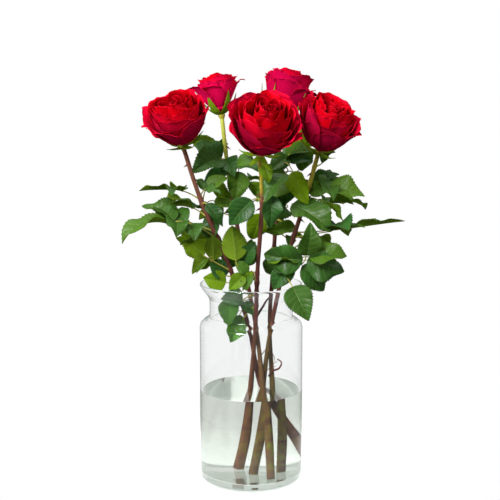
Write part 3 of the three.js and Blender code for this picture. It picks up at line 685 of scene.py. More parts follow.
def leaf_finish(colours):
    """Satin leaves: deep green above with paler veins, yellow-green and matt below, blotched and
    a little browned at the teeth; light shows through them."""
    f = Finish("rose leaf")
    _, across, tint = f.kept("place")
    side, vein, edge = f.kept("kind")
    above, below = colours.leaf_above, colours.leaf_below
    patches = f.noise(38.0, 3.0)
    fine = f.noise(420.0, 3.0)
    line = abs(vein.fraction() - 0.5)
    side_vein = (1 - line.between(0.0, 0.09)) * (1 - abs(across).between(0.7, 1.0))
    midrib = 1 - abs(across).between(0.015, 0.06)
    net = f.add("ShaderNodeTexVoronoi", {"feature": "DISTANCE_TO_EDGE"},
                {"Scale": 1.0, "Vector": f.vector(vein * 2.2, across * 7, tint * 30)}).outputs["Distance"]
    net = 1 - Number(f, net).between(0.0, 0.12)
    veins = (midrib + side_vein * 0.75).least(1.0)
    upper = f.mixed(patches.between(0.35, 0.7), scaled(above, 0.75), scaled(above, 1.25))
    # partly painted light: young leaves are a lighter yellow-green, made brighter still to stand in for
    # light that shows through backlit leaves, above and below
    upper = f.mixed(tint * 0.8, upper, colours.leaf_young_backlit)
    upper = f.mixed(veins * 0.35, upper, colours.leaf_vein)
    lower = f.mixed(patches.between(0.3, 0.7), below, scaled(below, 1.3))
    lower = f.mixed(tint * 0.6, lower, scaled(colours.leaf_young_backlit, 1.3))
    lower = f.mixed(veins * 0.25, lower, colours.leaf_vein)
    colour = f.mixed(side.between(-0.5, 0.5), lower, upper)
    rim = (1 - edge.between(0.0, 0.06)) * fine.between(0.4, 0.7)
    colour = f.mixed(rim * 0.5, colour, colours.leaf_rim)
    height = fine * 0.06 + net * -0.12 + veins * -0.6
    relief = f.bump(height, 0.4, 0.0008)
    gloss = 0.6 - side.between(-0.5, 0.5) * 0.24 + (patches - 0.5) * 0.15
    matt = f.surface(Base_Color=colour, Roughness=0.7, Normal=relief, Specular_IOR_Level=0.02)
    satin = f.surface(Base_Color=colour, Roughness=gloss, Normal=relief, Specular_IOR_Level=0.3)
    shine = side.between(-0.5, 0.5) * (1 - tint * 0.6) * outdoors(f)
    solid = f.blended(shine, matt, satin)
    old, young = mean(above, colours.leaf_glow, 0.55), mean(colours.leaf_young_backlit, colours.leaf_glow)
    return f.done(f.blended(0.3, solid, f.blended(tint.least(1), f.glow(old), f.glow(young))))


def stem_finish(colours):
    """Stems: brown-green or red-brown wood in the water, dark red-brown bark that grows paler above
    it and yellow-green under the bloom, with fibres along them; thorns are redder, stalks greener."""
    f = Finish("rose stem")
    along, around, tint = f.kept("place")
    fresh, thorn, wood = f.kept("kind")
    fibres = f.noise(1.0, 3.0, f.vector(along * 14, around * 8, tint * 50))
    patches = f.noise(95.0, 5.0, None, 0.7)
    low = f.mixed(wood, colours.stem_low, colours.stem_red)
    low = f.mixed(patches.between(0.5, 0.7) * (0.3 + 0.6 * tint), low, colours.stem_moss)
    low = f.mixed((0.5 - patches).between(0.0, 0.1) * 0.75, low, scaled(colours.stem_middle, 0.45))
    deep = f.mixed(wood, scaled(colours.stem_low, 0.75), colours.stem_middle)
    colour = f.mixed((along + (patches - 0.5) * 0.12).between(0.26, 0.36), low, deep)
    colour = f.mixed((along + (patches - 0.5) * 0.1).between(0.46, 0.56), colour, colours.stem_middle)
    young = (fresh + (patches - 0.5) * 0.7 * fresh * (1 - fresh) * 4).between(0.1, 0.9)
    colour = f.mixed(along.between(0.66, 0.96) * 0.7, colour, colours.stem_tan)
    colour = f.mixed(young, colour, f.mixed(tint, colours.stem_top, colours.stem_green))
    colour = f.mixed(fibres.between(0.45, 0.75) * 0.4, colour, scaled(colours.stem_middle, 0.4))
    colour = f.mixed(thorn, colour, colours.thorn)
    relief = f.bump(fibres + patches * 0.5, 0.6, 0.0008)
    wet = f.surface(Base_Color=colour, Roughness=0.6, Normal=relief, Specular_IOR_Level=0.0)
    dry = f.surface(Base_Color=colour, Roughness=0.5, Normal=relief, Specular_IOR_Level=0.2)
    return f.done(f.blended(outdoors(f), wet, dry))


def clear_finish(name, tint, ior):
    """A clear solid with a slight tint and an uneven surface. Lamps shine straight through it, and
    each of its sides keeps a little of their light back. Where light is mirrored inside twice or
    more, a painted glow, an emission of a fixed pale colour, stands in for it."""
    f = Finish(name)
    relief = f.bump(f.noise(9.0, 1.0, None, 0.3), 0.02, 0.002)
    clear = f.surface(Base_Color=(*tint, 1), Roughness=0.0, IOR=ior, Transmission_Weight=1.0,
                      Normal=relief)
    passing = f.add("ShaderNodeBsdfTransparent", None, {"Color": (*PASSED_LIGHT, 1)}).outputs[0]
    # painted glow: a pale emission where a ray has been mirrored inside twice or more
    pale = f.add("ShaderNodeEmission", None, {"Color": (*PAINTED_GLOW, 1), "Strength": 1.0}).outputs[0]
    trapped = f.ray("Glossy Depth").between(1.5, 2.5)
    return f.done(f.blended(f.ray("Is Shadow Ray"), f.blended(trapped, clear, pale), passing))


# ---- stems, thorns, stalks and calyx -------------------------------------------------------------


def stem_line(rose):
    """The middle of the stem as closely set points."""
    return smooth_line(rose["stem"], STEM["points"])


def bloom_turn(rose):
    """The bloom's own frame as (matrix, offset): +Z along its axis, its origin on top of the hip."""
    lean, azimuth = math.radians(rose["bloom"]["lean"]), math.radians(rose["bloom"]["azimuth"])
    axis = np.array([math.cos(azimuth) * math.sin(lean), math.sin(azimuth) * math.sin(lean), math.cos(lean)])
    return turn_from_up(axis), np.array(rose["stem"][-1]) + axis * HIP["height"] / 2


def profile_line(start, length, angles, roll=0.0, roll_from=0.8, count=160):
    """Radius and height on a line that starts at `start` and whose angle from the axis is the
    parabola through the three angles, with `roll` added over its last part, as (share, r, z). It
    runs on a little past its length, so that a petal's point can reach there."""
    s = np.linspace(0, 1.06, count)
    angle = angles[0] * (1 - s) * (1 - 2 * s) + angles[1] * 4 * s * (1 - s) + angles[2] * s * (2 * s - 1)
    angle = np.radians(angle + roll * np.clip((s - roll_from) / (1 - roll_from), 0, None) ** 1.6)
    step = length * (s[1] - s[0])
    r = start[0] + np.concatenate([[0], np.cumsum((np.sin(angle[1:]) + np.sin(angle[:-1])) / 2)]) * step
    z = start[1] + np.concatenate([[0], np.cumsum((np.cos(angle[1:]) + np.cos(angle[:-1])) / 2)]) * step
    return s, r, z


def thorn_places(rose, random):
    """Height on the stem and azimuth of each thorn."""
    top = rose["stem"][-1][2]
    count = THORN["count"]
    return [(lerp(THORN["lowest"], top - THORN["below_top"], (i + random()) / count),
             2 * math.pi * random()) for i in range(count)]


def thorn(line, height, azimuth, tint):
    """A thorn: a cone on a wide oval foot, bent down towards its point."""
    foot = at_height(line, height)
    out = unit(np.array([math.cos(azimuth), math.sin(azimuth), 0.0]))
    s = np.linspace(0, 1, 9)[:, None]
    start = foot + out * THORN["root"]
    bend = THORN["droop"] * s + THORN["hook"] * s**2
    path = start + out * THORN["length"] * s + np.array([0, 0, -1.0]) * THORN["length"] * bend
    radii = THORN["radius"] * (1 - s[:, 0]) ** 1.25 + 0.05
    return tube(path, radii, 10, tint, (0, 1, 0.8), (0.5, 0.5), (0, 0, 1))


def stem_parts(rose, random, sizes, tint):
    """The stem from its foot to the hip, thicker low down and at the joints where leaves stand, with
    low ribs round it, its side twigs and its thorns. `place` runs from 0 at the foot to 1 at the hip."""
    line = stem_line(rose)
    s = np.linspace(0, 1, len(line))
    radius = sizes.stem_radius / MM * (STEM["middle"] + STEM["foot"] * (1 - smooth_step(0.1, 0.5, s)))
    for leaf in rose["leaves"]:
        near = np.exp(-((line[:, 2] - leaf["at"]) / STEM["joint_reach"]) ** 2)
        radius = radius * (1 + STEM["joint"] * near)
    angle = np.arange(STEM["sides"]) * 2 * np.pi / STEM["sides"]
    ribs = 0.025 * np.sin(5 * angle[None] + 9 * s[:, None])
    ripple = 1 + ribs + 0.02 * np.sin(2 * angle[None] + 31 * s[:, None])
    stem = tube(line, radius, STEM["sides"], tint, (0, 0, rose["wood"]), ripple=ripple)
    stem["kind"][:, 0] = smooth_step(rose["fresh"] - 16, rose["fresh"] + 8, stem["points"][:, 2])
    parts = [stem]
    for thick, points in rose.get("twigs", []):
        twig = smooth_line(points, 24)
        radii = thick * (1 - 0.5 * np.linspace(0, 1, 24) ** 2)
        parts.append(tube(twig, radii, 10, tint, (0, 0, 1), (0.46, 0.5), (0, 0, 1)))
    parts += [thorn(line, height, azimuth, tint) for height, azimuth in thorn_places(rose, random)]
    return parts


def hip_part(rose, tint):
    """The green hip under the bloom: a turned cup that swells and draws in below the sepals."""
    s = np.linspace(0, 1, 22)
    radius = HIP["neck"] + HIP["swell"] * np.sin(np.pi * s) ** 2 + HIP["mouth"] * s**2
    side = zip(radius, lerp(-HIP["height"], -0.6, s))
    profile = [(AXIS, -HIP["height"]), *side, (3.0, -0.1), (AXIS, 0.0)]
    part = turned(profile, HIP["segments"], 0.006)
    part["place"] = np.tile((1.0, 0.0, tint), (len(part["points"]), 1))
    part["kind"] = np.tile((1.0, 0.0, 0.0), (len(part["points"]), 1))
    return moved(part, *bloom_turn(rose))


def sepal_parts(rose, random, tint):
    """Five pointed sepals that stand out from the hip and bend back: a strip whose width rises
    and falls along it, raised at its edges, with small lobes near its middle."""
    t = np.concatenate([[0, 0.01], np.linspace(0.03, 0.99, 26), [1]])
    u = np.array([-1, -0.93, -0.6, -0.3, -0.06, 0, 0.06, 0.3, 0.6, 0.93, 1])
    parts = []
    for i in range(SEPAL["count"]):
        azimuth = 360 / SEPAL["count"] * (i + 0.5) + 270 + SEPAL["scatter"] * (random() - 0.5)
        azimuth = math.radians(azimuth)
        angles = [angle + lerp(-4, 10, random()) for angle in rose["bloom"]["sepals"]]
        s, r, z = profile_line(SEPAL["start"], rose["bloom"]["calyx"][0], angles)
        out = np.array([math.cos(azimuth), math.sin(azimuth), 0])
        across = np.array([-out[1], out[0], 0])
        width = rose["bloom"]["calyx"][1] * (0.75 + 1.7 * t) * (1.003 - t) ** 1.3
        width = width * (1 + 0.16 * np.maximum(0, np.sin(26 * t)) * (t > 0.2) * (t < 0.7))
        side = u[None] * width[:, None]
        rise = np.interp(t, s, z)[:, None] + 0.12 * np.abs(side) + 0.25 * np.sin(9 * t + i)[:, None]
        reach = np.interp(t, s, r)[:, None, None]
        points = reach * out + side[..., None] * across + rise[..., None] * (0, 0, 1)
        grid_t, grid_u = np.meshgrid(t, u, indexing="ij")
        place = stacked(grid_t, grid_u, tint)
        kind = stacked(grid_t, grid_t * 4, 1 - np.abs(grid_u))
        thickness = np.full(grid_t.shape, SEPAL["thickness"])
        parts.append(moved(blade(points, thickness, place, kind), *bloom_turn(rose)))
    return parts


# ---- leaves --------------------------------------------------------------------------------------


def leaflet_outline(t):
    """Half width of an oval, long-pointed leaflet, as a share of its widest."""
    s = np.clip(t, 0, 1)
    oval = np.maximum(np.sin(np.pi * s**0.78), 0) ** 0.85
    return 0.012 + 1.1 * oval * (1 - 0.36 * s)


def leaflet(root, tip, face, random, tint, shape=(1, None)):
    """A leaflet: its midrib is an arc from root to tip, its halves fold up from it, its edge waves,
    the flesh swells between the side veins, and forward teeth cut its outline. `shape` is its
    width as a share of the usual one, and the turn of its arc in degrees where it is set."""
    length = np.linalg.norm(tip - root)
    chord = (tip - root) / length
    up = square_to(face, chord)
    right = np.cross(chord, up)
    fold = math.radians(LEAFLET["fold"])
    arch = math.radians(lerp(*LEAFLET["arch"], random()) if shape[1] is None else shape[1])
    twist = math.radians(lerp(*LEAFLET["twist"], random()))
    phase = 2 * math.pi * random()
    sway, curl, wavy = [math.sin(k * phase + k) for k in (7, 11, 17)]
    up = up * math.cos(0.3 * sway) + right * math.sin(0.3 * sway)
    right = np.cross(chord, up)
    teeth = LEAFLET["teeth"]
    steps = np.array([0.0, 0.4, 0.8])
    inner = ((np.arange(teeth)[:, None] + steps) / teeth).ravel()
    saw = np.tile([0.0, 0.5, 1.0], teeth)
    t = np.concatenate([[0, 0.008], inner[1:], [0.994, 1]])
    saw = np.concatenate([[0, 0], saw[1:], [0, 0]])
    half = np.array([0.05, 0.15, 0.3, 0.46, 0.62, 0.78, 0.93, 1])
    u = np.concatenate([-half[::-1], [0], half])
    t, u = np.meshgrid(t, u, indexing="ij")
    vein = LEAFLET["veins"] * (t - 0.2 * np.abs(u) ** 1.3 + 0.1)
    tooth = LEAFLET["tooth"] * (saw[:, None] - 0.4) * np.abs(u) ** 7
    tooth = tooth * smooth_step(0.05, 0.2, t) * smooth_step(1, 0.93, t)
    half_width = length * LEAFLET["half_width"] * shape[0] * leaflet_outline(t) * (1 + tooth)
    forward = 0.012 * (saw[:, None] > 0.9) * np.abs(u) ** 7
    turn = arch * (t + forward - 0.5)
    chord_length = 2 * math.sin(arch / 2)
    x = length * (np.sin(turn) + math.sin(arch / 2)) / chord_length
    rise = length * (np.cos(turn) - math.cos(arch / 2)) / chord_length
    normal = up * np.cos(turn)[..., None] + chord * np.sin(turn)[..., None]
    fade = np.sin(np.pi * np.minimum(t, 1))
    wave = LEAFLET["wave"] * (1 + 0.7 * wavy) * length
    wave = wave * np.sin(9 * t + phase + 0.8 * np.sign(u)) * u * u * fade
    droop = length * (0.05 + 0.07 * curl) * (t - t**3)
    ripple = 0.012 * length * np.sin(23 * t + 2 * phase) * np.abs(u) ** 3 * fade
    swell = LEAFLET["swell"] * length * np.abs(np.sin(np.pi * (vein - 0.5)))
    swell = swell * (1 - u**4) * smooth_step(0, 0.25, np.abs(u)) * fade
    rib = LEAFLET["rib"] * length * np.exp(-((u / 0.09) ** 2)) * fade
    lift = np.abs(u) * half_width * math.sin(fold) + twist * t * u * half_width
    lift = lift + wave + ripple + swell - rib + droop
    points = (root + chord * x[..., None] + up * rise[..., None]
              + right * (u * half_width * math.cos(fold))[..., None] + normal * lift[..., None])
    thickness = LEAFLET["thickness"] * (1 + 1.2 * np.exp(-((u / 0.08) ** 2)) * (1 - 0.7 * t))
    place = stacked(t, u, tint)
    kind = stacked(t, vein, np.minimum(1 - np.abs(u), 1 - t))
    return blade(points, thickness, place, kind)


def compound_leaf(line, leaf, random, tint):
    """A thin bent stalk from the stem, side leaflets in pairs on short stalks of their own and one
    leaflet at the end, as (stalks, leaflets)."""
    root = at_height(line, leaf["at"])
    end, tip, face = [np.array(leaf[key], float) for key in ("end", "tip", "face")]
    onwards = unit(tip - end)
    length = leaf.get("side", PAIRS["length"] * np.linalg.norm(tip - end))
    away = end - root
    distance = np.linalg.norm(away)
    bend = end - onwards * 0.45 * distance * (0.5 + 0.5 * away @ onwards / distance) ** 0.7

    def on_stalk(s):
        """The stalk: the curve from root to end that leans towards `bend`."""
        return root * (1 - s) ** 2 + bend * 2 * s * (1 - s) + end * s**2

    def stalk_way(s):
        """The way in which the stalk grows there."""
        return unit((bend - root) * (1 - s) + (end - bend) * s)

    s = np.linspace(0, 1.03, 24)
    foot = STALK["foot"] * np.exp(-s * distance / STALK["foot_reach"])
    radii = STALK["radius"] + foot + STALK["taper"] * (1 - s)
    stalks = [tube(on_stalk(s[:, None]), radii, 10, 0.8, (0.6, 0, 0.8), (0.8, 1))]
    leaflets = [leaflet(end, tip, face, random, tint, leaf.get("shape", (1, None)))]
    for pair in range(leaf["pairs"]):
        at = PAIRS["single"] if leaf["pairs"] == 1 else PAIRS["foremost"] - PAIRS["apart"] * pair
        along = unit(lerp(stalk_way(at), onwards, 0.5))
        up = square_to(face, along)
        right = np.cross(along, up)
        for side in (1, -1):
            start = on_stalk(at + side * PAIRS["stagger"])
            spread = leaf.get("spread", PAIRS["spread"]) + PAIRS["scatter"] * random()
            spread = math.radians(spread + PAIRS["opening"] * pair)
            way = along * math.cos(spread) + right * side * math.sin(spread)
            way = way + up * lerp(*PAIRS["lift"], random())
            reach = unit(way) * length * (1 - PAIRS["taper"] * pair)
            leaflets.append(leaflet(start + reach * 0.05, start + reach, face, random, 0.4 * tint))
            stem = start + reach * np.linspace(-0.02, 0.1, 4)[:, None]
            stalks.append(tube(stem, STALK["side_radius"], 8, 0.8, (0.7, 0, 0.5), (0.9, 1)))
    return stalks, leaflets


# ---- blooms --------------------------------------------------------------------------------------


def petal(plan, bloom, random):
    """One petal as a blade. Its middle line leaves the receptacle and bends as profile_line says,
    and its lip rolls back over the last part. Every point keeps the radius and height of a point
    of that line and turns about the bloom's axis by its distance from it, so that petals nest. The
    outline is cut away at the corners, drawn out to a small point in the middle, tilted by `skew`
    and notched; the corners roll furthest, and the edge is ruffled."""
    share = plan["share"]
    roll_from = lerp(0.9, 0.78, share)
    s, r_line, z_line = profile_line(plan["start"], plan["length"], plan["angles"], plan["roll"], roll_from)
    v = np.concatenate([[0, 0.02], 1 - (1 - np.linspace(0.08, 0.985, 23)) ** 1.2, [0.994, 1]])
    u = np.concatenate([[-1, -0.98], np.linspace(-0.93, 0.93, 27), [0.98, 1]])
    v, u = np.meshgrid(v, u, indexing="ij")
    shift = [random() * 6.28 for _ in range(5)]
    skew = lerp(-0.05, 0.05, random()) * lerp(1, 0.6, share)
    notches = 0.014 * np.sin(7 * u + shift[0]) + 0.005 * np.sin(15 * u + shift[1])
    notches = notches + 0.002 * np.sin(37 * u + shift[2])
    outline = plan["point"] * np.exp(-((u / 0.16) ** 2)) - plan["point"] * 0.4 + notches + skew * u
    t = v * (1 - lerp(0.05, 0.1, share) * np.abs(u) ** 3 + outline * v**4)
    radius, height = np.interp(t, s, r_line), np.interp(t, s, z_line)
    widening = 0.12 + 0.88 * np.sin(np.pi / 2 * np.minimum(1, v / 0.62))
    widest = lerp(2.3, 1.15, min(1, share * 2.2))
    spread = np.minimum(widest, plan["width"] * widening / np.maximum(radius, 3))
    angle = math.radians(plan["azimuth"]) + spread * u
    ruffle = 1 + PETAL["ruffle"] * v**3 * np.sin(4 * angle + 3 * share)
    ruffle += 0.01 * v**5 * np.sin(9 * angle + shift[3]) * share
    ruffle += 0.02 * v**2 * np.sin(2.6 * u + shift[4])
    corner = 0.12 * share * smooth_step(0.5, 1.0, np.abs(u)) * v**3
    spiral = 0.05 * u * v
    reach = np.maximum(radius, 0.8) * (ruffle + corner + spiral)
    height = height - 0.2 * corner * plan["length"] * share
    points = crowded(stacked(reach * np.cos(angle), reach * np.sin(angle), height), bloom)
    thickness = 0.55 - 0.25 * v
    place = stacked(v, u, random())
    edge = np.minimum(1 - np.abs(u), 1 - v)
    kind = stacked(v, share, 1 - smooth_step(0, 0.05, edge))
    return blade(points, thickness, place, kind)


def crowded(points, bloom):
    """Folds the heart: near the axis and towards the top, circles about the axis become stars
    with rounded, uneven arms that swirl outwards, so that nested lips turn into crowded ribbons
    with hollows between them."""
    x, y, z = np.moveaxis(points, -1, 0)
    radius, angle = np.hypot(x, y), np.arctan2(y, x)
    high = smooth_step(0.2, 0.7, z / bloom["length"])
    near = smooth_step(1.0, 6.0, radius) * np.exp(-((radius / 23) ** 4))
    fold = bloom["crowd"] * high * near
    turn = angle + 0.05 * radius + math.radians(bloom["azimuth"])
    star = 0.65 * np.cos(bloom["lobes"] * turn) + 0.4 * np.cos((bloom["lobes"] - 1) * turn + 2)
    star += 0.3 * np.cos(2 * turn + 1)
    radius = radius * (1 + fold * star)
    angle = angle + 0.35 * fold * np.sin(bloom["lobes"] * turn)
    return stacked(radius * np.cos(angle), radius * np.sin(angle), z + 4.0 * fold * star)


def petal_plans(bloom, random, half_width):
    """The petals from the heart outwards, each turned on by the golden angle, with `share` from 0
    in the heart to 1 outside, and then the listed guard petals round them."""
    count = bloom["count"]
    for k in range(count):
        share = k / (count - 1)
        opening = (share**0.9, share, share**1.5)
        azimuth = GOLDEN_ANGLE * (k + 13 - count) + bloom["azimuth"]
        azimuth = azimuth + lerp(-PETAL["scatter"], PETAL["scatter"], random())
        facing = 0.5 + 0.5 * math.cos(math.radians(azimuth - bloom["front"]))
        size = lerp(0.84, 1, smooth_step(0, 0.5, share)) - bloom["dip"] * facing * share**1.5
        yield {
            "share": share,
            "azimuth": azimuth,
            "angles": [lerp(a, b, w) + lerp(-2, 2, random()) + c * bloom["dip"] * facing * share
                       for a, b, c, w in zip(PETAL["inner"], bloom["outer"], PETAL["dip_turn"], opening)],
            "length": bloom["length"] * size * lerp(0.95, 1.05, random()),
            "start": [lerp(PETAL["start"][0][i], PETAL["start"][1][i], share) for i in (0, 1)],
            "roll": lerp(15, 35, share) * lerp(0.6, 1.3, random()),
            "width": half_width * lerp(0.42, 1, share**0.8),
            "point": lerp(0.0, 0.05, share),
        }
    for azimuth, length, angles, roll, width, point in bloom["guards"]:
        yield {"share": 1.0, "azimuth": azimuth, "angles": angles, "length": length,
               "start": PETAL["guard_start"], "roll": roll, "point": point,
               "width": width * half_width / PETAL["half_width"]}


def bloom_parts(rose, seed, sizes):
    """The receptacle and every petal that grows from it."""
    random = random_stream(seed)
    bloom = rose["bloom"]
    core = turned(RECEPTACLE, 24)
    core["kind"][:] = (1, 1, 0)
    core["place"][:] = (0.1, 0, 0.5)
    plans = petal_plans(bloom, random, sizes.petal_width / MM / 2)
    return moved(joined([core] + [petal(plan, bloom, random) for plan in plans]), *bloom_turn(rose))


# ---- vase and water --------------------------------------------------------------------------------


def arc(centre, radius, start, stop, count):
    """Points of a circle's arc between two angles, as (radius, height)."""
    angle = np.radians(np.linspace(start, stop, count))
    return list(zip(centre[0] + radius * np.cos(angle), centre[1] + radius * np.sin(angle)))


def vase_side(body, height, inset):
    """The side from the shoulder to the lip, moved in by `inset`: a rounded shoulder, a hollow
    into the straight neck and a flare, smoothed by a line through them."""
    v = VASE
    shoulder = arc((body - v["shoulder"], v["shoulder_height"]), v["shoulder"] - inset, 0, 62, 9)
    rest = [
        shoulder[-1],
        (v["neck"] + 1.2 - inset, v["neck_bottom"] - 1),
        (v["neck"] - inset, v["neck_bottom"] + v["hollow"]),
        (v["neck"] - inset, v["neck_top"] - v["hollow"]),
        (v["neck"] + 2 - inset, v["neck_top"] + 2),
        (lerp(v["neck"], v["lip"], 0.62) - inset, v["neck_top"] + 9),
        (v["lip"] - inset, height - v["lip_below_top"]),
    ]
    return shoulder[:-1] + [tuple(p) for p in smooth_line(rest, 37)]


def vase_part(sizes):
    """The vase, turned: foot, heel, straight side, shoulder, neck, flare, round lip, and the same
    inside down to a floor that is a little domed."""
    body, height, wall = [x / MM for x in (sizes.body_radius, sizes.vase_height, sizes.wall)]
    heel, floor, lip = VASE["heel"], VASE["floor"], VASE["lip"]
    foot = [(AXIS, 0.8), (body * 0.45, 0.6), (body - heel - 4, 0.15)]
    outside = foot + arc((body - heel, heel), heel, -90, 0, 10)
    outside += [(body, z) for z in np.linspace(20, VASE["shoulder_height"] - 4, 12)]
    outside += vase_side(body, height, 0)
    crown = height - VASE["lip_below_top"] + VASE["lip_crown"]
    rounded = arc((lip - wall / 2, crown), wall / 2, 20, 160, 9)
    inside = vase_side(body, height, wall)[::-1]
    inside += [(body - wall, z) for z in np.linspace(VASE["shoulder_height"] - 4, 24, 12)]
    inside += arc((body - wall - heel, floor + heel), heel, 0, -90, 10)
    inside += [(body * 0.5, floor + 0.7), (body * 0.25, floor + 1.1), (AXIS, floor + 1.3)]
    return turned(outside + rounded + inside, VASE["segments"], VASE["unevenness"])


def water_part(sizes):
    """The water, turned: it fills the vase to its level, reaches a hair into the glass so that no
    air shows between them, and its top climbs the wall a little."""
    body, wall, level = [x / MM for x in (sizes.body_radius, sizes.wall, sizes.water_level)]
    radius = body - wall + WATER["overlap"]
    heel, floor = VASE["heel"], VASE["floor"] - WATER["overlap"]
    edge = level + WATER["climb"]
    profile = [(AXIS, floor + 1.3), (body * 0.25, floor + 1.1), (body * 0.5, floor + 0.7)]
    profile += arc((radius - heel, floor + heel), heel, -90, 0, 10)
    profile += [(radius, z) for z in (*np.linspace(24, edge - 2, 9), edge - 0.5, edge - 0.1, edge)]
    profile += [(radius - x, level + WATER["climb"] * math.exp(-x / WATER["climb_width"]))
                for x in (0.1, 0.4, 1, 2, 3.5, 5)]
    profile += [(radius * s, level) for s in (0.75, 0.5, 0.25)] + [(AXIS, level)]
    return turned(profile, VASE["segments"], VASE["unevenness"])


# ---- sizes and colours -------------------------------------------------------------------------


def length(name, description, default):
    """A length that can be changed in the panel."""
    return FloatProperty(name=name, description=description, default=default, min=0, unit="LENGTH")


def colour(name, description, default):
    """A colour that can be changed in the panel."""
    return FloatVectorProperty(name=name, description=description, default=default, min=0, max=1,
                               size=3, subtype="COLOR")


class BouquetSizes(bpy.types.PropertyGroup):
    """Sizes that can be changed."""

    body_radius: length("Body radius", "Outer radius of the vase's straight body", 62.5 * MM)
    vase_height: length("Vase height", "From the foot to the lip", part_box("vase")[1][2])
    wall: length("Wall", "Thickness of the glass", 3.2 * MM)
    water_level: length("Water level", "Height of the water above the foot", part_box("water")[1][2])
    stem_radius: length("Stem radius", "Radius of a stem in the middle", 2.8 * MM)
    petal_width: length("Petal width", "Width of the outermost petals", 2 * PETAL["half_width"] * MM)


class BouquetColours(bpy.types.PropertyGroup):
    """Colours that can be changed."""

    petal_inside: colour("Petal inside", "Upper side of the petals", (0.92, 0.001, 0.009))
    petal_outside: colour("Petal outside", "Back of the outer petals", (0.52, 0.004, 0.05))
    petal_guard: colour("Guard petal inside", "Upper side of the outermost petals", (0.64, 0.002, 0.03))
    petal_pink: colour("Pink outside", "Back of the petals of the pinker blooms", (0.68, 0.003, 0.075))
    # painted highlight along the petal lips
    petal_edge_highlight: colour("Petal edge", "Paler edge of the petals", (0.88, 0.01, 0.04))
    # near-black patches on the lips of the outer petals
    petal_lip: colour("Petal lip", "Dark lip of the outer petals", (0.035, 0.0, 0.008))
    leaf_above: colour("Leaf above", "Upper side of old leaves", (0.027, 0.103, 0.018))
    # partly painted light: brighter than a young leaf alone, for light that shows through backlit leaves
    leaf_young_backlit: colour("Young leaf", "Upper side of young leaves", (0.18, 0.31, 0.005))
    leaf_below: colour("Leaf below", "Underside of the leaves", (0.10, 0.16, 0.014))
    leaf_vein: colour("Leaf vein", "Veins of the leaves", (0.26, 0.38, 0.10))
    leaf_rim: colour("Leaf rim", "Browned teeth of the leaves", (0.08, 0.06, 0.02))
    leaf_glow: colour("Leaf glow", "Light that comes through a leaf", (0.24, 0.42, 0.006))
    stem_low: colour("Stem below", "Green-brown wood in the water", (0.085, 0.075, 0.013))
    stem_moss: colour("Green stem below", "Green patches of the wood in the water", (0.12, 0.18, 0.006))
    stem_red: colour("Red stem below", "Red-brown wood in the water", (0.15, 0.05, 0.028))
    stem_middle: colour("Stem middle", "Red-brown bark", (0.10, 0.028, 0.022))
    stem_tan: colour("Stem under the bloom", "Paler red-brown bark higher up", (0.24, 0.105, 0.06))
    stem_top: colour("Stem top", "Golden young wood under the bloom", (0.34, 0.24, 0.02))
    stem_green: colour("Green stem top", "Green young wood under the bloom", (0.44, 0.48, 0.07))
    thorn: colour("Thorn", "Thorns", (0.12, 0.03, 0.02))
    glass: colour("Glass", "Tint of the glass", (0.965, 0.975, 0.97))
    water: colour("Water", "Tint of the water", (0.70, 0.735, 0.68))


# ---- operators ---------------------------------------------------------------------------------


class MakeVase(bpy.types.Operator):
    """Make the clear glass vase"""

    bl_idname = "bouquet.vase"
    bl_label = "Vase"

    def execute(self, context):
        glass = clear_finish("clear glass", context.scene.bouquet_colours.glass, REFRACTION["glass"])
        piece("vase_glass", vase_part(context.scene.bouquet_sizes), glass, "glass", "vase")
        return {"FINISHED"}


class MakeWater(bpy.types.Operator):
    """Fill the vase with water"""

    bl_idname = "bouquet.water"
    bl_label = "Water"

    def execute(self, context):
        clear = clear_finish("water", context.scene.bouquet_colours.water, REFRACTION["water"])
        piece("vase_water", water_part(context.scene.bouquet_sizes), clear, "water", "water")
        return {"FINISHED"}


class MakeGreenery(bpy.types.Operator):
    """Make the stems with their thorns, the leaves and the calyxes of all roses"""

    bl_idname = "bouquet.greenery"
    bl_label = "Stems and leaves"

    def execute(self, context):
        sizes, colours = context.scene.bouquet_sizes, context.scene.bouquet_colours
        bark, green = stem_finish(colours), leaf_finish(colours)
        for i, (name, rose) in enumerate(ROSES.items()):
            random = random_stream(SEEDS["greenery"] + SEEDS["step"] * i)
            tints = random_stream(SEEDS["leaf_tints"] * (i + 2))
            node = f"{name}_leafy_stem"
            stem = stem_parts(rose, random, sizes, rose["moss"])
            # partly painted light: tint 1.2 gives the sepals the lighter young-leaf green in full, which
            # also brightens them against the shade they face down into
            sepals = sepal_parts(rose, random, 1.2)
            line = stem_line(rose)
            stalks, leaflets = [], []
            for leaf in rose["leaves"]:
                tint = leaf.get("young", 0.45 * tints())
                new_stalks, new_leaflets = compound_leaf(line, leaf, random, tint)
                stalks += new_stalks
                leaflets += new_leaflets
            piece(f"{name}_stem", joined(stem + stalks + [hip_part(rose, 0.5)]), bark, "foliage", node)
            piece(f"{name}_leaves", joined(leaflets), green, "foliage", node)
            piece(f"{name}_sepals", joined(sepals), green, "foliage", node)
        return {"FINISHED"}


class MakeBlooms(bpy.types.Operator):
    """Make the blooms, petal by petal from the heart outwards"""

    bl_idname = "bouquet.blooms"
    bl_label = "Blooms"

    def execute(self, context):
        colours = context.scene.bouquet_colours
        for i, (name, rose) in enumerate(ROSES.items()):
            seed = SEEDS["blooms"] + SEEDS["step"] * i
            parts = bloom_parts(rose, seed, context.scene.bouquet_sizes)
            # partly painted light: the pink backs are scaled per bloom, darker where the lamps light a bloom
            # more
            pink = rose["bloom"]["pink"]
            outside = scaled(colours.petal_pink, pink) if pink else colours.petal_outside
            velvet = petal_finish(colours, name.replace("_", " ") + " petals", outside)
            piece(f"{name}_petals", parts, velvet, "petals", f"{name}_bloom")
        return {"FINISHED"}


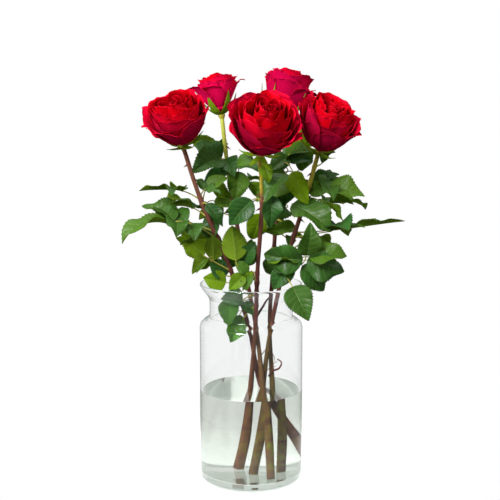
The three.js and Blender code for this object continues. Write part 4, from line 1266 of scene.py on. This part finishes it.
def pale_floor():
    """A white floor that fades out, away from the vase, into the white all round. Under the vase it has
    a painted pool of light: an emission stands in for the light that the clear glass collects there."""
    f = Finish("pale floor")
    away = f.add("ShaderNodeVectorMath", {"operation": "LENGTH"}, {0: f.position()}).outputs["Value"]
    away = Number(f, away)
    # painted light: the floor glows under the vase, out to the first reach
    painted_light_pool = FLOOR["painted_light_pool"] - away.between(*FLOOR["painted_pool_reach"]) * FLOOR["painted_light_pool"]
    white = f.surface(Base_Color=(*FLOOR["colour"], 1), Roughness=0.8, Specular_IOR_Level=0.1,
                      Emission_Color=painted_light_pool, Emission_Strength=1.0)
    nothing = f.add("ShaderNodeBsdfTransparent").outputs[0]
    return f.done(f.blended(away.between(*FLOOR["fades"]), white, nothing))


def studio():
    """White where it is looked at, straight or through clear things, and a little less so in front
    by way of a reflection in them. As a light and in reflections it is a dim room that is brighter
    overhead."""
    f = Finish("studio", "worlds")
    _, depth, height = f.split(f.position("Generated"))
    front = 1 - depth.between(-0.3, 0.4)
    reflected, lit = f.ray("Glossy Depth").least(1), f.ray("Diffuse Depth").least(1)
    through = f.ray("Is Transmission Ray") * (1 - lit) * (1 - reflected * front * 0.2)
    seen = f.ray("Is Camera Ray").most(through)
    room = height.between(-0.6, 1.0) * 0.5 + 0.08
    room = room * (1 - f.ray("Is Glossy Ray") * 0.65)
    values = {"Color": (1, 1, 1, 1), "Strength": seen + (1 - seen) * room}
    return f.done(f.add("ShaderNodeBackground", None, values).outputs[0], "ShaderNodeOutputWorld")


class MakeStage(bpy.types.Operator):
    """Set the pale floor, the soft lights and the camera"""

    bl_idname = "bouquet.stage"
    bl_label = "Stage"

    def execute(self, context):
        scene = context.scene
        mesh = bpy.data.meshes.new("floor")
        reach = FLOOR["reach"]
        mesh.from_pydata([(-reach, -reach, 0), (reach, -reach, 0), (reach, reach, 0), (-reach, reach, 0)],
                         [], [(0, 1, 2, 3)])
        mesh.materials.append(pale_floor())
        floor = bpy.data.objects.new("floor", mesh)
        scene.collection.objects.link(floor)
        scene.world = studio()
        scene.view_settings.view_transform = "Standard"
        for row in LAMPS:
            self.lamp(*row)
        camera = bpy.data.objects.new("camera", bpy.data.cameras.new("camera"))
        camera.location = CAMERA["place"]
        camera.rotation_euler = (math.radians(90 - CAMERA["pitch"]), 0, 0)
        camera.data.sensor_width = CAMERA["sensor"]
        camera.data.lens = CAMERA["lens"]
        scene.collection.objects.link(camera)
        scene.camera = camera
        return {"FINISHED"}

    def lamp(self, name, place, size, watts, mirrored):
        """A square soft lamp that faces the middle of the bouquet, and may show in the glass."""
        data = bpy.data.lights.new(name, "AREA")
        data.size, data.energy = size, watts
        lamp = bpy.data.objects.new(name, data)
        lamp.location = place
        way = np.array(LAMPS_AIM) - np.array(place)
        turn = math.atan2(way[1], way[0]) - math.pi / 2
        lamp.rotation_euler = (math.acos(-way[2] / np.linalg.norm(way)), 0, turn)
        lamp.visible_glossy = lamp.visible_transmission = mirrored
        bpy.context.scene.collection.objects.link(lamp)


STEPS = (MakeStage, MakeVase, MakeWater, MakeGreenery, MakeBlooms)


class BouquetPanel(bpy.types.Panel):
    """Sizes, colours and the steps of the bouquet"""

    bl_idname = "VIEW3D_PT_bouquet"
    bl_label = "Roses in a Vase"
    bl_space_type = "VIEW_3D"
    bl_region_type = "UI"
    bl_category = "Roses"

    def draw(self, context):
        for step in STEPS:
            self.layout.operator(step.bl_idname)
        for group in (context.scene.bouquet_sizes, context.scene.bouquet_colours):
            for name in group.__annotations__:
                self.layout.prop(group, name)


CLASSES = (BouquetSizes, BouquetColours, *STEPS, BouquetPanel)


def register():
    """Makes the classes and their settings known."""
    for cls in CLASSES:
        bpy.utils.register_class(cls)
    bpy.types.Scene.bouquet_sizes = PointerProperty(type=BouquetSizes)
    bpy.types.Scene.bouquet_colours = PointerProperty(type=BouquetColours)


def unregister():
    """Takes them away again."""
    del bpy.types.Scene.bouquet_colours
    del bpy.types.Scene.bouquet_sizes
    for cls in reversed(CLASSES):
        bpy.utils.unregister_class(cls)


def main():
    """Takes all steps in order."""
    register()
    for step in STEPS:
        group, name = step.bl_idname.split(".")
        getattr(getattr(bpy.ops, group), name)()


if __name__ == "__main__":
    main()
